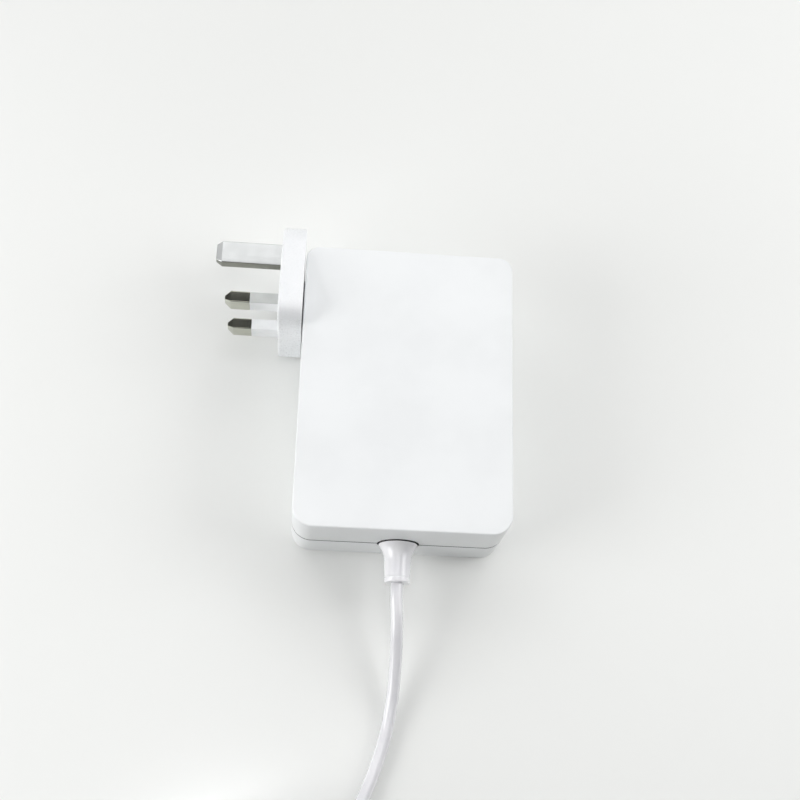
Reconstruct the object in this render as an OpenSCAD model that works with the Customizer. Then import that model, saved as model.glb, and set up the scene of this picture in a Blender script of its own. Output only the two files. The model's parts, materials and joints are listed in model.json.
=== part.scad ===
// Laptop power adapter: a two-cover housing with a pull-off three-pin mains head on its side,
// and a captive low-voltage lead that ends in a barrel plug.
// Millimetres. The origin is the middle of the underside, +Z is up, the head is on the -X side
// near the +Y end, and the lead leaves the -Y end.

/* [Housing] */
// Width of the housing, from the mains head's side to the other
body_w = 70; // [69:1:84]
// Length of the housing, along the lead
body_l = 97; // [96:1:116]
// Height of the housing
body_h = 33; // [32.4:0.2:38]
// Height of the parting line above the underside
seam_z = 15; // [14.6:0.2:17]
// Thickness of the housing's walls
wall = 2.2; // [2:0.1:2.6]
// Radius of the upright corners at the lead's end
corner_r = 6.5; // [5.8:0.1:8]
// Radius of the upright corners at the far end
far_corner_r = 4.5; // [4:0.1:8]
// Rounding of the top edge
top_edge_r = 0.6; // [0.5:0.1:1.6]
// Rounding of the bottom edge
base_edge_r = 1.2; // [0.5:0.1:1.6]
// Width of the groove between the covers
seam_gap = 0.5; // [0.2:0.05:0.6]
// Height of the lip that locates the top cover
lip_h = 1.6; // [1.2:0.1:2.4]
// Thickness of that lip
lip_t = 0.9; // [0.7:0.05:1.1]

/* [Mains head] */
// Distance from the live and neutral pins' line to the housing's far end
head_inset = 21; // [19:0.5:24]
// Thickness of the head
head_t = 8; // [7.6:0.1:10]
// Gap between the head and the housing
head_gap = 0.4; // [0.3:0.1:0.8]
// Half of the head's width at its two corners
head_half_w = 20.3; // [19.6:0.1:22]
// Distance from the pins' line to the head's straight edge
head_near = 8.1; // [7.8:0.1:10]
// Distance from the pins' line to the far end of its round edge
head_far = 32; // [31:0.5:35]
// Radius of the round edge by the earth pin
head_far_r = 13.3; // [12:0.1:15]
// Radius of the head's two corners
head_corner_r = 4.7; // [3.5:0.1:6]
// Rounding of the head's front edge
head_edge_r = 0.9; // [0.5:0.1:1.2]
// Thickness of the head's front wall
head_wall = 2.4; // [2:0.1:2.8]
// Thickness of the wall round the head
head_rim = 1.8; // [1.4:0.1:2.2]
// Thickness of the plate that closes the head's back
back_t = 1.8; // [1.5:0.1:2.2]

/* [Mains pins] */
// Distance between the live and neutral pins
pin_pitch = 22.2; // [21.8:0.1:22.6]
// Distance from their line to the earth pin
earth_offset = 22.2; // [21.8:0.1:22.6]
// Width of the live and neutral pins
pin_w = 6.35; // [6.2:0.05:6.5]
// Thickness of the live and neutral pins
pin_t = 4; // [3.8:0.05:4.2]
// Length of the live and neutral pins outside the head
pin_l = 17.7; // [17:0.1:18.5]
// Length of their insulating sleeves outside the head
sleeve_l = 9.4; // [8.8:0.1:10]
// Thickness of the sleeves
sleeve_t = 0.6; // [0.4:0.05:0.8]
// Width of the earth pin
earth_w = 8; // [7.8:0.05:8.2]
// Thickness of the earth pin
earth_t = 4; // [3.8:0.05:4.2]
// Length of the earth pin outside the head
earth_l = 22.7; // [22:0.1:23.5]
// Length of the taper at each pin's tip
tip_l = 2; // [1.2:0.1:2.6]
// Rounding of the pins' long edges
pin_edge_r = 0.4; // [0.2:0.05:0.6]

/* [Inlet] */
// Length of the stem that plugs into the housing
stem_l = 10; // [9:0.5:12]
// Width of the stem
stem_w = 20; // [18:0.5:21]
// Height of the stem
stem_h = 12; // [10:0.5:12.5]
// Radius of the stem's corners
stem_r = 3; // [2:0.5:4]
// Clearance all round the stem
stem_fit = 0.3; // [0.2:0.05:0.4]
// Wall thickness of the inlet socket
socket_wall = 1.5; // [1.2:0.1:1.6]
// Distance between the two inlet contacts
contact_pitch = 10; // [9:0.5:10.5]
// Diameter of the inlet's contact pins
contact_d = 2.4; // [2:0.1:2.6]
// Running clearance between a contact pin and its tube
contact_fit = 0.08; // [0.05:0.01:0.1]
// Outside diameter of the contact tubes in the stem
tube_d = 4.2; // [3.9:0.1:4.6]
// Thickness of the straps from the pins to the tubes
strap_t = 0.8; // [0.6:0.1:0.9]

/* [Strain relief] */
// Diameter of its flared base
relief_base_d = 12.9; // [12.2:0.1:14]
// Gap between that base and the housing's face
relief_stand = 0.3; // [0.2:0.05:0.5]
// Diameter of its sleeve, where the flare ends
relief_d = 8.9; // [8.4:0.1:9.5]
// Diameter of its sleeve at the free end
relief_end_d = 8.3; // [7:0.1:8.8]
// Length outside the housing
relief_l = 13; // [11:0.5:16]
// Length of the flare
relief_flare_l = 6; // [4:0.5:7]
// Width of the ring-shaped gap between its base and the edge of the recess
relief_ring = 0.4; // [0.15:0.05:0.5]
// Diameter of the neck held by the covers
relief_neck_d = 11; // [10:0.2:11.6]
// Diameter of the flange inside the housing
relief_flange_d = 15; // [13:0.5:16]
// Thickness of that flange
relief_flange_t = 2; // [1.5:0.1:2.5]

/* [Lead] */
// Diameter of the lead
cord_d = 4.2; // [4.1:0.05:4.3]
// Diameter of the coil at the middle of its turns
coil_mid_d = 47.5; // [47:0.1:48]
// Free space between neighbouring turns
coil_gap = 0.45; // [0.42:0.01:0.5]
// Width of the tie's band
tie_w = 6; // [4:0.5:8]
// Thickness of the tie's band
tie_t = 0.5; // [0.4:0.05:0.55]

/* [Low-voltage plug] */
// Outside diameter of the barrel
barrel_d = 5.5; // [5.4:0.05:5.6]
// Bore of the centre contact
barrel_bore = 2.5; // [2.4:0.05:2.6]
// Length of the barrel outside the grip
barrel_l = 9.5; // [9:0.1:11]
// Wall thickness of the barrel
barrel_wall = 0.5; // [0.4:0.05:0.6]
// Wall thickness of the centre contact
core_wall = 0.3; // [0.25:0.05:0.4]
// Diameter of the plug's grip
grip_d = 9; // [8.6:0.1:9]
// Length of the plug's grip
grip_l = 18; // [16:0.5:20]
// Length of the plug's own strain relief
grip_tail_l = 10; // [8:0.5:12]

/* [Board and components] */
// Thickness of the circuit board
board_t = 1.6; // [1.2:0.1:1.7]
// Height of the posts under the board
post_h = 2.2; // [1.8:0.1:2.3]
// Diameter of the posts
post_d = 7; // [5:0.5:7]
// Diameter of the pegs that locate the board
peg_d = 3; // [2.4:0.1:3.4]
// Space between the board and the walls
board_fit = 0.5; // [0.3:0.1:0.8]
// Width of the transformer, across the board
trafo_w = 28; // [26:0.5:30]
// Depth of the transformer's core, along the board
trafo_l = 22; // [19:0.5:22.5]
// Height of the transformer above the board
trafo_h = 22.2; // [20:0.2:22.6]
// Diameter of the bulk capacitor
bulk_d = 18; // [16:0.5:19]
// Length of the bulk capacitor
bulk_l = 31; // [28:0.5:32]
// Outside diameter of the mains choke's core
choke_d = 19; // [17:0.5:19.5]
// Height of the mains choke's core
choke_h = 9; // [7:0.5:11]
// Length of the mains-side capacitor
film_cap_l = 20; // [17:0.5:21]
// Height of the mains-side capacitor
film_cap_h = 15; // [12:0.5:17]
// Diameter of the output capacitors
out_cap_d = 10; // [8:0.5:10]
// Height of the output capacitors
out_cap_h = 16; // [12:0.5:20]
// Height of the heatsinks above the board
sink_h = 20; // [18:0.5:21]
// Length of the heatsinks
sink_l = 26; // [22:0.5:28]
// Thickness of the heatsinks
sink_t = 2; // [1.5:0.1:2.4]
// Thickness of the heat spreader under the top cover
spreader_t = 0.6; // [0.4:0.1:0.8]

/* [Hidden] */
$fn = 64;
touch = 0.05;       // space between faces that bear on each other
inner_w = body_w - 2 * wall;
inner_l = body_l - 2 * wall;
inner_r = [corner_r - wall, far_corner_r - wall];
inner_top = body_h - wall;

// mains head
head_y = body_l / 2 - head_inset;
head_z = head_half_w;
back_x = -body_w / 2 - head_gap;
face_x = back_x - head_t;
plate_x = back_x - back_t;
near_corner = [head_y - head_near + head_corner_r, head_half_w - head_corner_r];
far_centre = [head_y + head_far - head_far_r, 0];
strap_x = plate_x - strap_t - touch;
collar_t = 1.2;
pin_fit = 0.05;

// inlet, on the parting line
stem_margin = 0.5;  // from the stem to the inside of the head's rim
inlet_y = head_y - head_near + head_rim + stem_w / 2 + stem_margin;
inlet_z = seam_z;
stem_end_x = back_x + stem_l;
pocket_end_x = stem_end_x + 0.4;
socket_end_x = pocket_end_x + socket_wall;
contact_tail = 1.5;
contact_reach = 7.5;

// board
board_w = inner_w - 2 * board_fit;
board_l = inner_l - 2 * board_fit;
board_z = wall + post_h;
deck = board_z + board_t;
post_x = body_w / 2 - corner_r;
post_y = body_l / 2 - corner_r;
peg_rise = 0.6;
peg_fit = 0.1;
spreader_z = inner_top - spreader_t - touch;
sheet_t = 0.4;
sheet_margin = 8;

// component places on the board: those at its ends and side keep their distance from the edge
board_end = board_l / 2;
fuse_at = [-15.5, board_end - 5.8];
varistor_at = [-5, board_end - 5.8];
film_cap_at = [13.5, board_end - 6.3];
bridge_at = [board_w / 2 - 3.3, 28];
choke_at = [-7.5, 22];
bulk_at = [15.5, 16.5];
trafo_at = [1, -16];
primary_sink_y = 0;
secondary_sink_y = -19;
y_cap_at = [-19, -7];
opto_at = [-20, -17];
chip_at = [-19, 6];
out_choke_at = [-21.5, -33.5];
out_caps_at = [[-10.5, 7.3 - board_end], [11.5, 7.3 - board_end], [22.5, 8.8 - board_end]];

// strain relief, on the parting line
end_y = -body_l / 2;
relief_z = seam_z;
relief_recess = 1.2;  // depth of the round recess behind its base
wire_d = 1.6;
inner_lead_l = 3;

// lead: from the strain relief to the coil, and from the coil to the plug
cord_route = [
  [0, -61.5, 15], [0, -66, 14.9], [0.3, -71, 14], [0.6, -76.5, 12.2], [0.8, -82, 9.8],
  [0.8, -88, 7.2], [0.6, -94, 4.9], [0, -100, 3.3], [-1, -106.5, 2.4], [-2.6, -113, 2.2],
  [-4.8, -120, 2.2], [-7.4, -126.8, 2.2], [-10.2, -133.2, 2.2], [-12.8, -139.8, 2.4],
  [-14.8, -146.6, 2.6], [-15.8, -152.4, 2.7], [-16, -157.8, 2.7]
];
tail_route = [
  [-16, -166.2, 16.65], [-16, -171, 16.3], [-16.8, -176.5, 14.9], [-19, -182, 12.5],
  [-22.8, -187.5, 9.8], [-28, -192.8, 7.4], [-34, -196.8, 5.6], [-39, -199, 4.7],
  [-43.5, -199.5, 4.5]
];
coil_layers = 4;
turns_per_layer = 2.75;
coil_steps = 24;
coil_sides = 6;
cord_sides = 12;
coil_pitch = cord_d + coil_gap;
coil_out_r = coil_mid_d / 2 + turns_per_layer * coil_pitch / 2;
coil_start = [-16, -162, 2.7];
coil_centre = coil_start - [coil_out_r, 0, 0];
coil_top_z = coil_start.z + (coil_layers - 1) * coil_pitch;
plug_at = tail_route[len(tail_route) - 1];
barrel_root = 3;
root_step = 0.2;    // how much thinner the barrel's root is, all round, and how far it shows

// ---- shared shapes ----

// Rectangle with round corners, about the origin
module rounded_rect(w, l, r) {
  square([w - 2 * r, l], center = true);
  square([w, l - 2 * r], center = true);
  for (sx = [-1, 1], sy = [-1, 1])
    translate([sx * (w / 2 - r), sy * (l / 2 - r)])
      circle(r);
}

// The housing's outline, about the origin; r holds the corner radii at the -Y and the +Y end
module plan(w, l, r) {
  translate([-w / 2, r[0] - l / 2])
    square([w, l - r[0] - r[1]]);
  for (end = [0, 1])
    mirror([0, end, 0]) {
      translate([r[end] - w / 2, -l / 2])
        square([w - 2 * r[end], r[end] + touch]);
      for (s = [-1, 1])
        translate([s * (w / 2 - r[end]), r[end] - l / 2])
          circle(r[end]);
    }
}

// Block with the housing's outline, whose lower edge is rounded by e
module edge_block(w, l, h, r, e) {
  translate([0, 0, e])
    linear_extrude(h - e)
      plan(w, l, r);
  linear_extrude(h)
    plan(w - 2 * e, l - 2 * e, r - [e, e]);
  for (end = [0, 1])
    mirror([0, end, 0]) {
      for (s = [-1, 1])
        translate([s * (w / 2 - r[end]), r[end] - l / 2, e])
          rotate_extrude()
            translate([r[end] - e, 0])
              circle(e, $fn = 32);
      translate([0, e - l / 2, e])
        rotate([0, 90, 0])
          cylinder(h = w - 2 * r[end], r = e, center = true, $fn = 32);
    }
  for (s = [-1, 1])
    translate([s * (w / 2 - e), l / 2 - r[1], e])
      rotate([90, 0, 0])
        cylinder(h = l - r[0] - r[1], r = e, $fn = 32);
}

// A profile drawn in Y and Z, extruded along X from x0 to x1
module along_x(x0, x1) {
  translate([x0, 0, 0])
    rotate([90, 0, 90])
      linear_extrude(x1 - x0)
        children();
}

// A profile of radius against distance, turned about an axis that points to -Y
module turned_to_minus_y(at) {
  translate(at)
    rotate([90, 0, 0])
      rotate_extrude()
        children();
}

// A straight round wire between two points along one axis
module wire(from, to, d) {
  run = to - from;
  turn = run.x != 0 ? [0, run.x > 0 ? 90 : -90, 0]
    : run.y != 0 ? [run.y > 0 ? -90 : 90, 0, 0]
    : [run.z > 0 ? 0 : 180, 0, 0];
  translate(from)
    rotate(turn)
      cylinder(h = norm(run), d = d, $fn = 24);
}

// ---- housing ----

// The cavity in both covers, and what opens into it
module cavity_outline() {
  plan(inner_w, inner_l, inner_r);
}

module relief_hole() {
  translate([0, end_y - 1, relief_z])
    rotate([-90, 0, 0])
      cylinder(h = wall + 3, d = relief_neck_d + 2 * relief_ring);
  translate([0, end_y - 1, relief_z])
    rotate([-90, 0, 0])
      cylinder(h = 1 + relief_recess, d = relief_base_d + 2 * relief_ring);
}

module inlet_hole() {
  along_x(-body_w / 2 - 1, -body_w / 2 + wall + 1)
    translate([inlet_y, inlet_z])
      rounded_rect(stem_w + 2 * stem_fit, stem_h + 2 * stem_fit, stem_r + stem_fit);
}

module lip_ring(h, grow) {
  linear_extrude(h)
    difference() {
      plan(
        inner_w + 2 * (lip_t + grow),
        inner_l + 2 * (lip_t + grow),
        inner_r + (lip_t + grow) * [1, 1]
      );
      cavity_outline();
    }
}

module bottom_cover() {
  color("white") {
    difference() {
      union() {
        difference() {
          edge_block(body_w, body_l, seam_z - seam_gap / 2, [corner_r, far_corner_r], base_edge_r);
          translate([0, 0, wall])
            linear_extrude(body_h)
              cavity_outline();
        }
        translate([0, 0, seam_z - seam_gap / 2 - touch])
          lip_ring(lip_h + seam_gap / 2, 0);
      }
      relief_hole();
      inlet_hole();
    }
    for (sx = [-1, 1], sy = [-1, 1])
      translate([sx * post_x, sy * post_y, wall - touch]) {
        cylinder(h = post_h + touch, d = post_d);
        cylinder(h = post_h + touch + board_t + peg_rise, d = peg_d);
      }
  }
}

module top_cover() {
  color("white")
    difference() {
      translate([0, 0, body_h])
        mirror([0, 0, 1])
          edge_block(
            body_w, body_l, body_h - seam_z - seam_gap / 2, [corner_r, far_corner_r], top_edge_r
          );
      translate([0, 0, wall])
        linear_extrude(inner_top - wall)
          cavity_outline();
      translate([0, 0, seam_z])
        lip_ring(lip_h + seam_gap / 2 + touch, 2 * touch);
      relief_hole();
      inlet_hole();
    }
}

// ---- inlet ----

// It follows the rounded corner of the covers that hold it
module inlet_socket() {
  color("whitesmoke")
    difference() {
      intersection() {
        along_x(-body_w / 2 + wall + touch, socket_end_x)
          translate([inlet_y, inlet_z])
            rounded_rect(
              stem_w + 2 * (stem_fit + socket_wall),
              stem_h + 2 * (stem_fit + socket_wall),
              stem_r + stem_fit + socket_wall
            );
        linear_extrude(body_h)
          plan(inner_w - 2 * touch, inner_l - 2 * touch, inner_r - [touch, touch]);
      }
      along_x(-body_w / 2, pocket_end_x)
        translate([inlet_y, inlet_z])
          rounded_rect(stem_w + 2 * stem_fit, stem_h + 2 * stem_fit, stem_r + stem_fit);
      for (s = [-1, 1])
        translate([pocket_end_x - 1, inlet_y + s * contact_pitch / 2, inlet_z])
          rotate([0, 90, 0])
            cylinder(h = socket_wall + 2, d = contact_d + 2 * touch, $fn = 32);
    }
}

module inlet_pins() {
  color("silver")
    for (s = [-1, 1])
      translate([pocket_end_x - contact_reach, inlet_y + s * contact_pitch / 2, inlet_z])
        rotate([0, 90, 0]) {
          cylinder(h = contact_reach + socket_wall + contact_tail, d = contact_d, $fn = 32);
          translate([0, 0, contact_reach + socket_wall + touch])
            cylinder(h = 0.6, d = contact_d + 1.2, $fn = 32);
        }
}

module inlet_wires() {
  tail_x = socket_end_x + contact_tail;
  color("firebrick")
    for (s = [-1, 1]) {
      y = inlet_y + s * contact_pitch / 2;
      corner = [tail_x + wire_d, y, inlet_z];
      wire([tail_x, y, inlet_z], corner, wire_d);
      wire(corner, [corner.x, y, deck], wire_d);
      translate(corner)
        sphere(d = wire_d, $fn = 24);
    }
}

// ---- board ----

module circuit_board() {
  color("seagreen")
    translate([0, 0, board_z])
      linear_extrude(board_t)
        difference() {
          plan(board_w, board_l, [for (r = inner_r) max(r - board_fit, 0.5)]);
          for (sx = [-1, 1], sy = [-1, 1])
            translate([sx * post_x, sy * post_y])
              circle(d = peg_d + 2 * peg_fit);
        }
}

module insulation_sheet() {
  color("ivory")
    translate([0, 0, wall])
      linear_extrude(sheet_t)
        difference() {
          rounded_rect(board_w, board_l - 2 * sheet_margin, 3);
          for (sx = [-1, 1], sy = [-1, 1])
            translate([sx * post_x, sy * post_y])
              circle(d = post_d + 1);
        }
}

// A standing can with a rounded shoulder, from the board up
module can(at, d, h) {
  shoulder = 0.6;
  translate([at.x, at.y, deck]) {
    cylinder(h = h - shoulder, d = d);
    translate([0, 0, h - shoulder])
      cylinder(h = shoulder, d1 = d, d2 = d - 2 * shoulder);
  }
}

module fuse() {
  fuse_d = 8.4;
  fuse_h = 7.6;
  color("saddlebrown")
    can(fuse_at, fuse_d, fuse_h);
}

module surge_varistor() {
  disc_d = 11;
  disc_t = 4;
  lead_gap = 2;
  color("royalblue")
    translate([varistor_at.x, varistor_at.y, deck]) {
      translate([0, disc_t / 2, lead_gap + disc_d / 2])
        rotate([90, 0, 0])
          cylinder(h = disc_t, d = disc_d);
      for (s = [-1, 1])
        translate([s * 2.5, 0, 0])
          cylinder(h = lead_gap + disc_d / 2, d = 0.8, $fn = 16);
    }
}

module mains_capacitor() {
  depth = 9;
  color("gold")
    translate([film_cap_at.x, film_cap_at.y, deck])
      linear_extrude(film_cap_h)
        rounded_rect(film_cap_l, depth, 0.6);
}

winding_t = 1.4;

module choke_ring(grow) {
  difference() {
    circle(d = choke_d + 2 * grow);
    circle(d = choke_d / 2 - 2 * grow);
  }
}

module mains_choke_core() {
  color("dimgray")
    translate([choke_at.x, choke_at.y, deck + winding_t + touch])
      linear_extrude(choke_h)
        choke_ring(0);
}

module mains_choke_windings() {
  arc = 130;
  color("peru")
    translate([choke_at.x, choke_at.y, deck])
      for (s = [0, 180])
        rotate(s - arc / 2)
          rotate_extrude(angle = arc)
            difference() {
              translate([choke_d / 4 - winding_t, 0])
                square([choke_d / 4 + 2 * winding_t, choke_h + 2 * (winding_t + touch)]);
              translate([choke_d / 4 - touch, winding_t])
                square([choke_d / 4 + 2 * touch, choke_h + 2 * touch]);
            }
}

module bridge_rectifier() {
  case_t = 3.6;
  case_w = 15;
  case_h = 11;
  lead_l = 2.5;
  lead_pitch = 3.8;
  lead_d = 1;
  color("black")
    translate([bridge_at.x, bridge_at.y, deck]) {
      translate([-case_t / 2, -case_w / 2, lead_l])
        cube([case_t, case_w, case_h]);
      for (k = [-1.5:1.5])
        translate([0, k * lead_pitch, 0])
          cylinder(h = lead_l + 1, d = lead_d, $fn = 16);
    }
}

module bulk_capacitor() {
  bung_l = 1.5;
  color("midnightblue")
    translate([bulk_at.x, bulk_at.y - bulk_l / 2, deck + bulk_d / 2])
      rotate([-90, 0, 0]) {
        cylinder(h = bulk_l - bung_l, d = bulk_d);
        translate([0, 0, bulk_l - bung_l])
          cylinder(h = bung_l, d = bulk_d - 1.6);
      }
}

// Vertical places in the transformer, from the board up
trafo_plate_t = 4;
trafo_leg = 4;
trafo_post_d = 10;
trafo_lift = 2.5;
trafo_z = deck + trafo_lift;
window_z0 = trafo_z + trafo_plate_t;
window_z1 = deck + trafo_h - trafo_plate_t;
flange_t = 1;
flange_w = trafo_w - 2 * trafo_leg - 0.4;

module transformer_core() {
  color("dimgray")
    translate([trafo_at.x, trafo_at.y, 0]) {
      for (z = [trafo_z, window_z1])
        translate([-trafo_w / 2, -trafo_l / 2, z])
          cube([trafo_w, trafo_l, trafo_plate_t]);
      for (s = [-1, 1])
        translate([s * (trafo_w - trafo_leg) / 2 - trafo_leg / 2, -trafo_l / 2, trafo_z])
          cube([trafo_leg, trafo_l, trafo_h - trafo_lift]);
      translate([0, 0, trafo_z])
        cylinder(h = trafo_h - trafo_lift, d = trafo_post_d);
    }
}

module transformer_bobbin() {
  reach = 3.5;
  color("black")
    translate([trafo_at.x, trafo_at.y, 0])
      difference() {
        union() {
          for (z = [window_z0 + touch, window_z1 - flange_t - touch])
            translate([-flange_w / 2, -trafo_l / 2 - reach, z])
              cube([flange_w, trafo_l + 2 * reach, flange_t]);
          translate([0, 0, window_z0 + touch])
            cylinder(h = window_z1 - window_z0 - 2 * touch, d = trafo_post_d + 2);
          for (s = [-1, 1])
            translate([-flange_w / 2, s * (trafo_l / 2 + reach) - (s > 0 ? reach - 0.2 : 0), deck])
              cube([flange_w, reach - 0.2, window_z0 - deck + touch]);
        }
        translate([0, 0, deck])
          cylinder(h = trafo_h, d = trafo_post_d + 0.2);
      }
}

module transformer_winding() {
  color("gold")
    translate([trafo_at.x, trafo_at.y, window_z0 + flange_t + 2 * touch])
      linear_extrude(window_z1 - window_z0 - 2 * flange_t - 4 * touch)
        difference() {
          circle(d = flange_w - 0.6);
          circle(d = trafo_post_d + 2 + 2 * touch);
        }
}

// ---- heatsinks and power devices ----

sink_inset = 1.2;   // space between a heatsink and the side wall
device_lead_l = 2;
device_gap = 1;     // space between a power device and the heatsink's foot
device = [4.5, 10, sink_h - sink_t - device_lead_l - device_gap];
screw_d = 3;
screw_inset = 3;    // from a power device's upper end to its screw
screw_z = deck + device_lead_l + device.z - screw_inset;
screw_head_d = 5.5;
screw_fit = 0.3;

// A plate along a side wall, with a foot turned inwards; s is the side
module heatsink(s, y) {
  x = s * (inner_w / 2 - sink_inset);
  foot = 5;
  translate([x, y, deck])
    mirror([s > 0 ? 1 : 0, 0, 0])
      difference() {
        union() {
          translate([0, -sink_l / 2, 0])
            cube([sink_t, sink_l, sink_h]);
          translate([0, -sink_l / 2, sink_h - sink_t])
            cube([foot, sink_l, sink_t]);
        }
        translate([-1, 0, screw_z - deck])
          rotate([0, 90, 0])
            cylinder(h = sink_t + 2, d = screw_d + screw_fit, $fn = 32);
      }
}

module power_device(s, y) {
  x = s * (inner_w / 2 - sink_inset - sink_t - touch);
  translate([x, y, deck])
    mirror([s > 0 ? 1 : 0, 0, 0]) {
      difference() {
        translate([0, -device.y / 2, device_lead_l])
          cube(device);
        translate([-1, 0, screw_z - deck])
          rotate([0, 90, 0])
            cylinder(h = device.x + 2, d = screw_d + screw_fit, $fn = 32);
      }
      for (k = [-1:1])
        translate([device.x / 2, k * 2.54, 0])
          cylinder(h = device_lead_l + 1, d = 0.9, $fn = 16);
    }
}

module primary_heatsink() {
  color("silver")
    heatsink(-1, primary_sink_y);
}

module switch_transistor() {
  color("black")
    power_device(-1, primary_sink_y);
}

module secondary_heatsink() {
  color("silver")
    heatsink(1, secondary_sink_y);
}

module rectifier_transistor() {
  color("black")
    power_device(1, secondary_sink_y);
}

module heatsink_screws() {
  head_l = 1.6;
  x = inner_w / 2 - sink_inset - sink_t - device.x - 2 * touch;
  color("silver")
    for (side = [[-1, primary_sink_y], [1, secondary_sink_y]])
      translate([side[0] * x, side[1], screw_z])
        rotate([0, side[0] * 90, 0]) {
          cylinder(h = device.x + sink_t + 0.4, d = screw_d, $fn = 32);
          translate([0, 0, -head_l])
            cylinder(h = head_l, d = screw_head_d, $fn = 32);
        }
}

module safety_capacitor() {
  disc_d = 8;
  disc_t = 4;
  lead_gap = 2;
  color("dodgerblue")
    translate([y_cap_at.x, y_cap_at.y, deck]) {
      translate([0, disc_t / 2, lead_gap + disc_d / 2])
        rotate([90, 0, 0])
          cylinder(h = disc_t, d = disc_d);
      for (s = [-1, 1])
        translate([s * 2.5, 0, 0])
          cylinder(h = lead_gap + disc_d / 2, d = 0.8, $fn = 16);
    }
}

// A chip on the board, with a row of legs along each long side
module chip(at, size, legs) {
  translate([at.x - size.x / 2, at.y - size.y / 2, deck + 0.2])
    cube([size.x, size.y, size.z - 0.2]);
  for (s = [-1, 1], k = [0:legs - 1])
    translate([at.x + s * size.x / 2 - 0.5, at.y + (k - (legs - 1) / 2) * size.y / legs - 0.25, deck])
      cube([1, 0.5, size.z / 2]);
}

module optocoupler() {
  case_w = 6.4;
  case_l = 4.6;
  case_h = 3.4;
  color("white")
    chip(opto_at, [case_w, case_l, case_h], 2);
}

module controller_chip() {
  case_w = 4;
  case_l = 5;
  case_h = 1.6;
  color("black")
    chip(chip_at, [case_w, case_l, case_h], 4);
}

module output_choke() {
  drum_d = 12;
  drum_h = 12;
  color("darkgreen")
    translate([out_choke_at.x, out_choke_at.y, deck])
      rotate_extrude()
        difference() {
          square([drum_d / 2, drum_h]);
          translate([drum_d / 2 - 0.8, 1.6])
            square([1, drum_h - 3.2]);
        }
}

module output_capacitors() {
  color("midnightblue")
    for (at = out_caps_at)
      can(at, out_cap_d, out_cap_h);
}

module heat_spreader() {
  spreader_inset = 1.5;
  color("silver")
    translate([0, 0, spreader_z])
      linear_extrude(spreader_t)
        plan(inner_w - 2 * spreader_inset, inner_l - 2 * spreader_inset,
             [for (r = inner_r) max(r - spreader_inset, 0.5)]);
}

module thermal_pad() {
  top = deck + trafo_h;
  color("lightgray")
    translate([trafo_at.x, trafo_at.y, top])
      linear_extrude(spreader_z - top)
        rounded_rect(trafo_w - 2, trafo_l - 2, 1);
}

// ---- strain relief and what it holds ----

// A turned body: a flange behind the wall, a neck through it, a thin-rimmed base just off the
// face, a flare that is an arc, and a sleeve with a fine groove near its end
module strain_relief() {
  base_r = relief_base_d / 2;
  sleeve_r = relief_d / 2;
  end_r = relief_end_d / 2;
  neck_r = relief_neck_d / 2;
  flange_r = relief_flange_d / 2;
  rim_y = relief_stand + 0.25;
  flare_l = relief_flare_l - rim_y;
  end_edge_r = 0.3;
  groove_y = relief_l - 1.7;
  groove_w = 0.5;
  groove_t = 0.12;
  groove_r = end_r + (sleeve_r - end_r) * (relief_l - groove_y) / (relief_l - relief_flare_l);
  in_y = wall + touch;
  rise = base_r - sleeve_r;
  arc_r = (pow(flare_l, 2) + pow(rise, 2)) / (2 * rise);
  arc_a = asin(flare_l / arc_r);
  flare = [
    for (k = [0:8])
      let (a = arc_a * (1 - k / 8))
      [sleeve_r + arc_r * (1 - cos(a)), relief_flare_l - arc_r * sin(a)]
  ];
  color("white")
    turned_to_minus_y([0, end_y, relief_z])
      polygon(concat(
        [
          [0, -in_y - relief_flange_t],
          [flange_r, -in_y - relief_flange_t],
          [flange_r, -in_y],
          [neck_r, -in_y],
          [neck_r, relief_stand],
          [base_r, relief_stand]
        ],
        flare,
        [
          [groove_r, groove_y - groove_w / 2],
          [groove_r - groove_t, groove_y - groove_w / 2 + groove_t],
          [groove_r - groove_t, groove_y + groove_w / 2 - groove_t],
          [groove_r, groove_y + groove_w / 2],
          [end_r, relief_l - end_edge_r],
          [end_r - end_edge_r, relief_l],
          [0, relief_l]
        ]
      ));
}

inner_lead_y = end_y + wall + touch + relief_flange_t;

module inner_lead() {
  color("white")
    wire([0, inner_lead_y, relief_z], [0, inner_lead_y + inner_lead_l, relief_z], cord_d);
}

module output_wires() {
  spread = 1.05;
  y = inner_lead_y + inner_lead_l;
  color("black")
    for (s = [-1, 1]) {
      corner = [s * spread, y + wire_d, relief_z];
      wire([corner.x, y, relief_z], corner, wire_d);
      wire(corner, [corner.x, corner.y, deck], wire_d);
      translate(corner)
        sphere(d = wire_d, $fn = 24);
    }
}

// ---- lead ----

function unit(v) = v / norm(v);

// Direction of a path at point k
function heading(path, k) =
  let (last = len(path) - 1)
  unit(path[min(k + 1, last)] - path[max(k - 1, 0)]);

// One ring of points square to a path's direction t
function ring(at, t, r, sides) =
  let (across = unit(cross(t, [0, 0, 1])), up = cross(across, t))
  [for (k = [0:sides - 1]) let (a = 360 * (k + 0.5) / sides) at + r * (cos(a) * across + sin(a) * up)];

// Closed tube along a path
module tube_along(path, first, last, r, sides) {
  n = len(path);
  rings = [
    for (k = [0:n - 1])
      ring(path[k], k == 0 ? first : k == n - 1 ? last : heading(path, k), r, sides)
  ];
  skin = [
    for (k = [0:n - 2], j = [0:sides - 1])
      let (a = k * sides + j, b = k * sides + (j + 1) % sides)
      each [[a, b, b + sides], [a, b + sides, a + sides]]
  ];
  ends = [
    for (j = [1:sides - 2])
      each [[0, j + 1, j], [(n - 1) * sides, (n - 1) * sides + j, (n - 1) * sides + j + 1]]
  ];
  polyhedron(points = [for (loop = rings, p = loop) p], faces = concat(skin, ends));
}

module dc_cord() {
  color("white")
    tube_along(cord_route, [0, -1, 0], [0, -1, 0], cord_d / 2, cord_sides);
}

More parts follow.
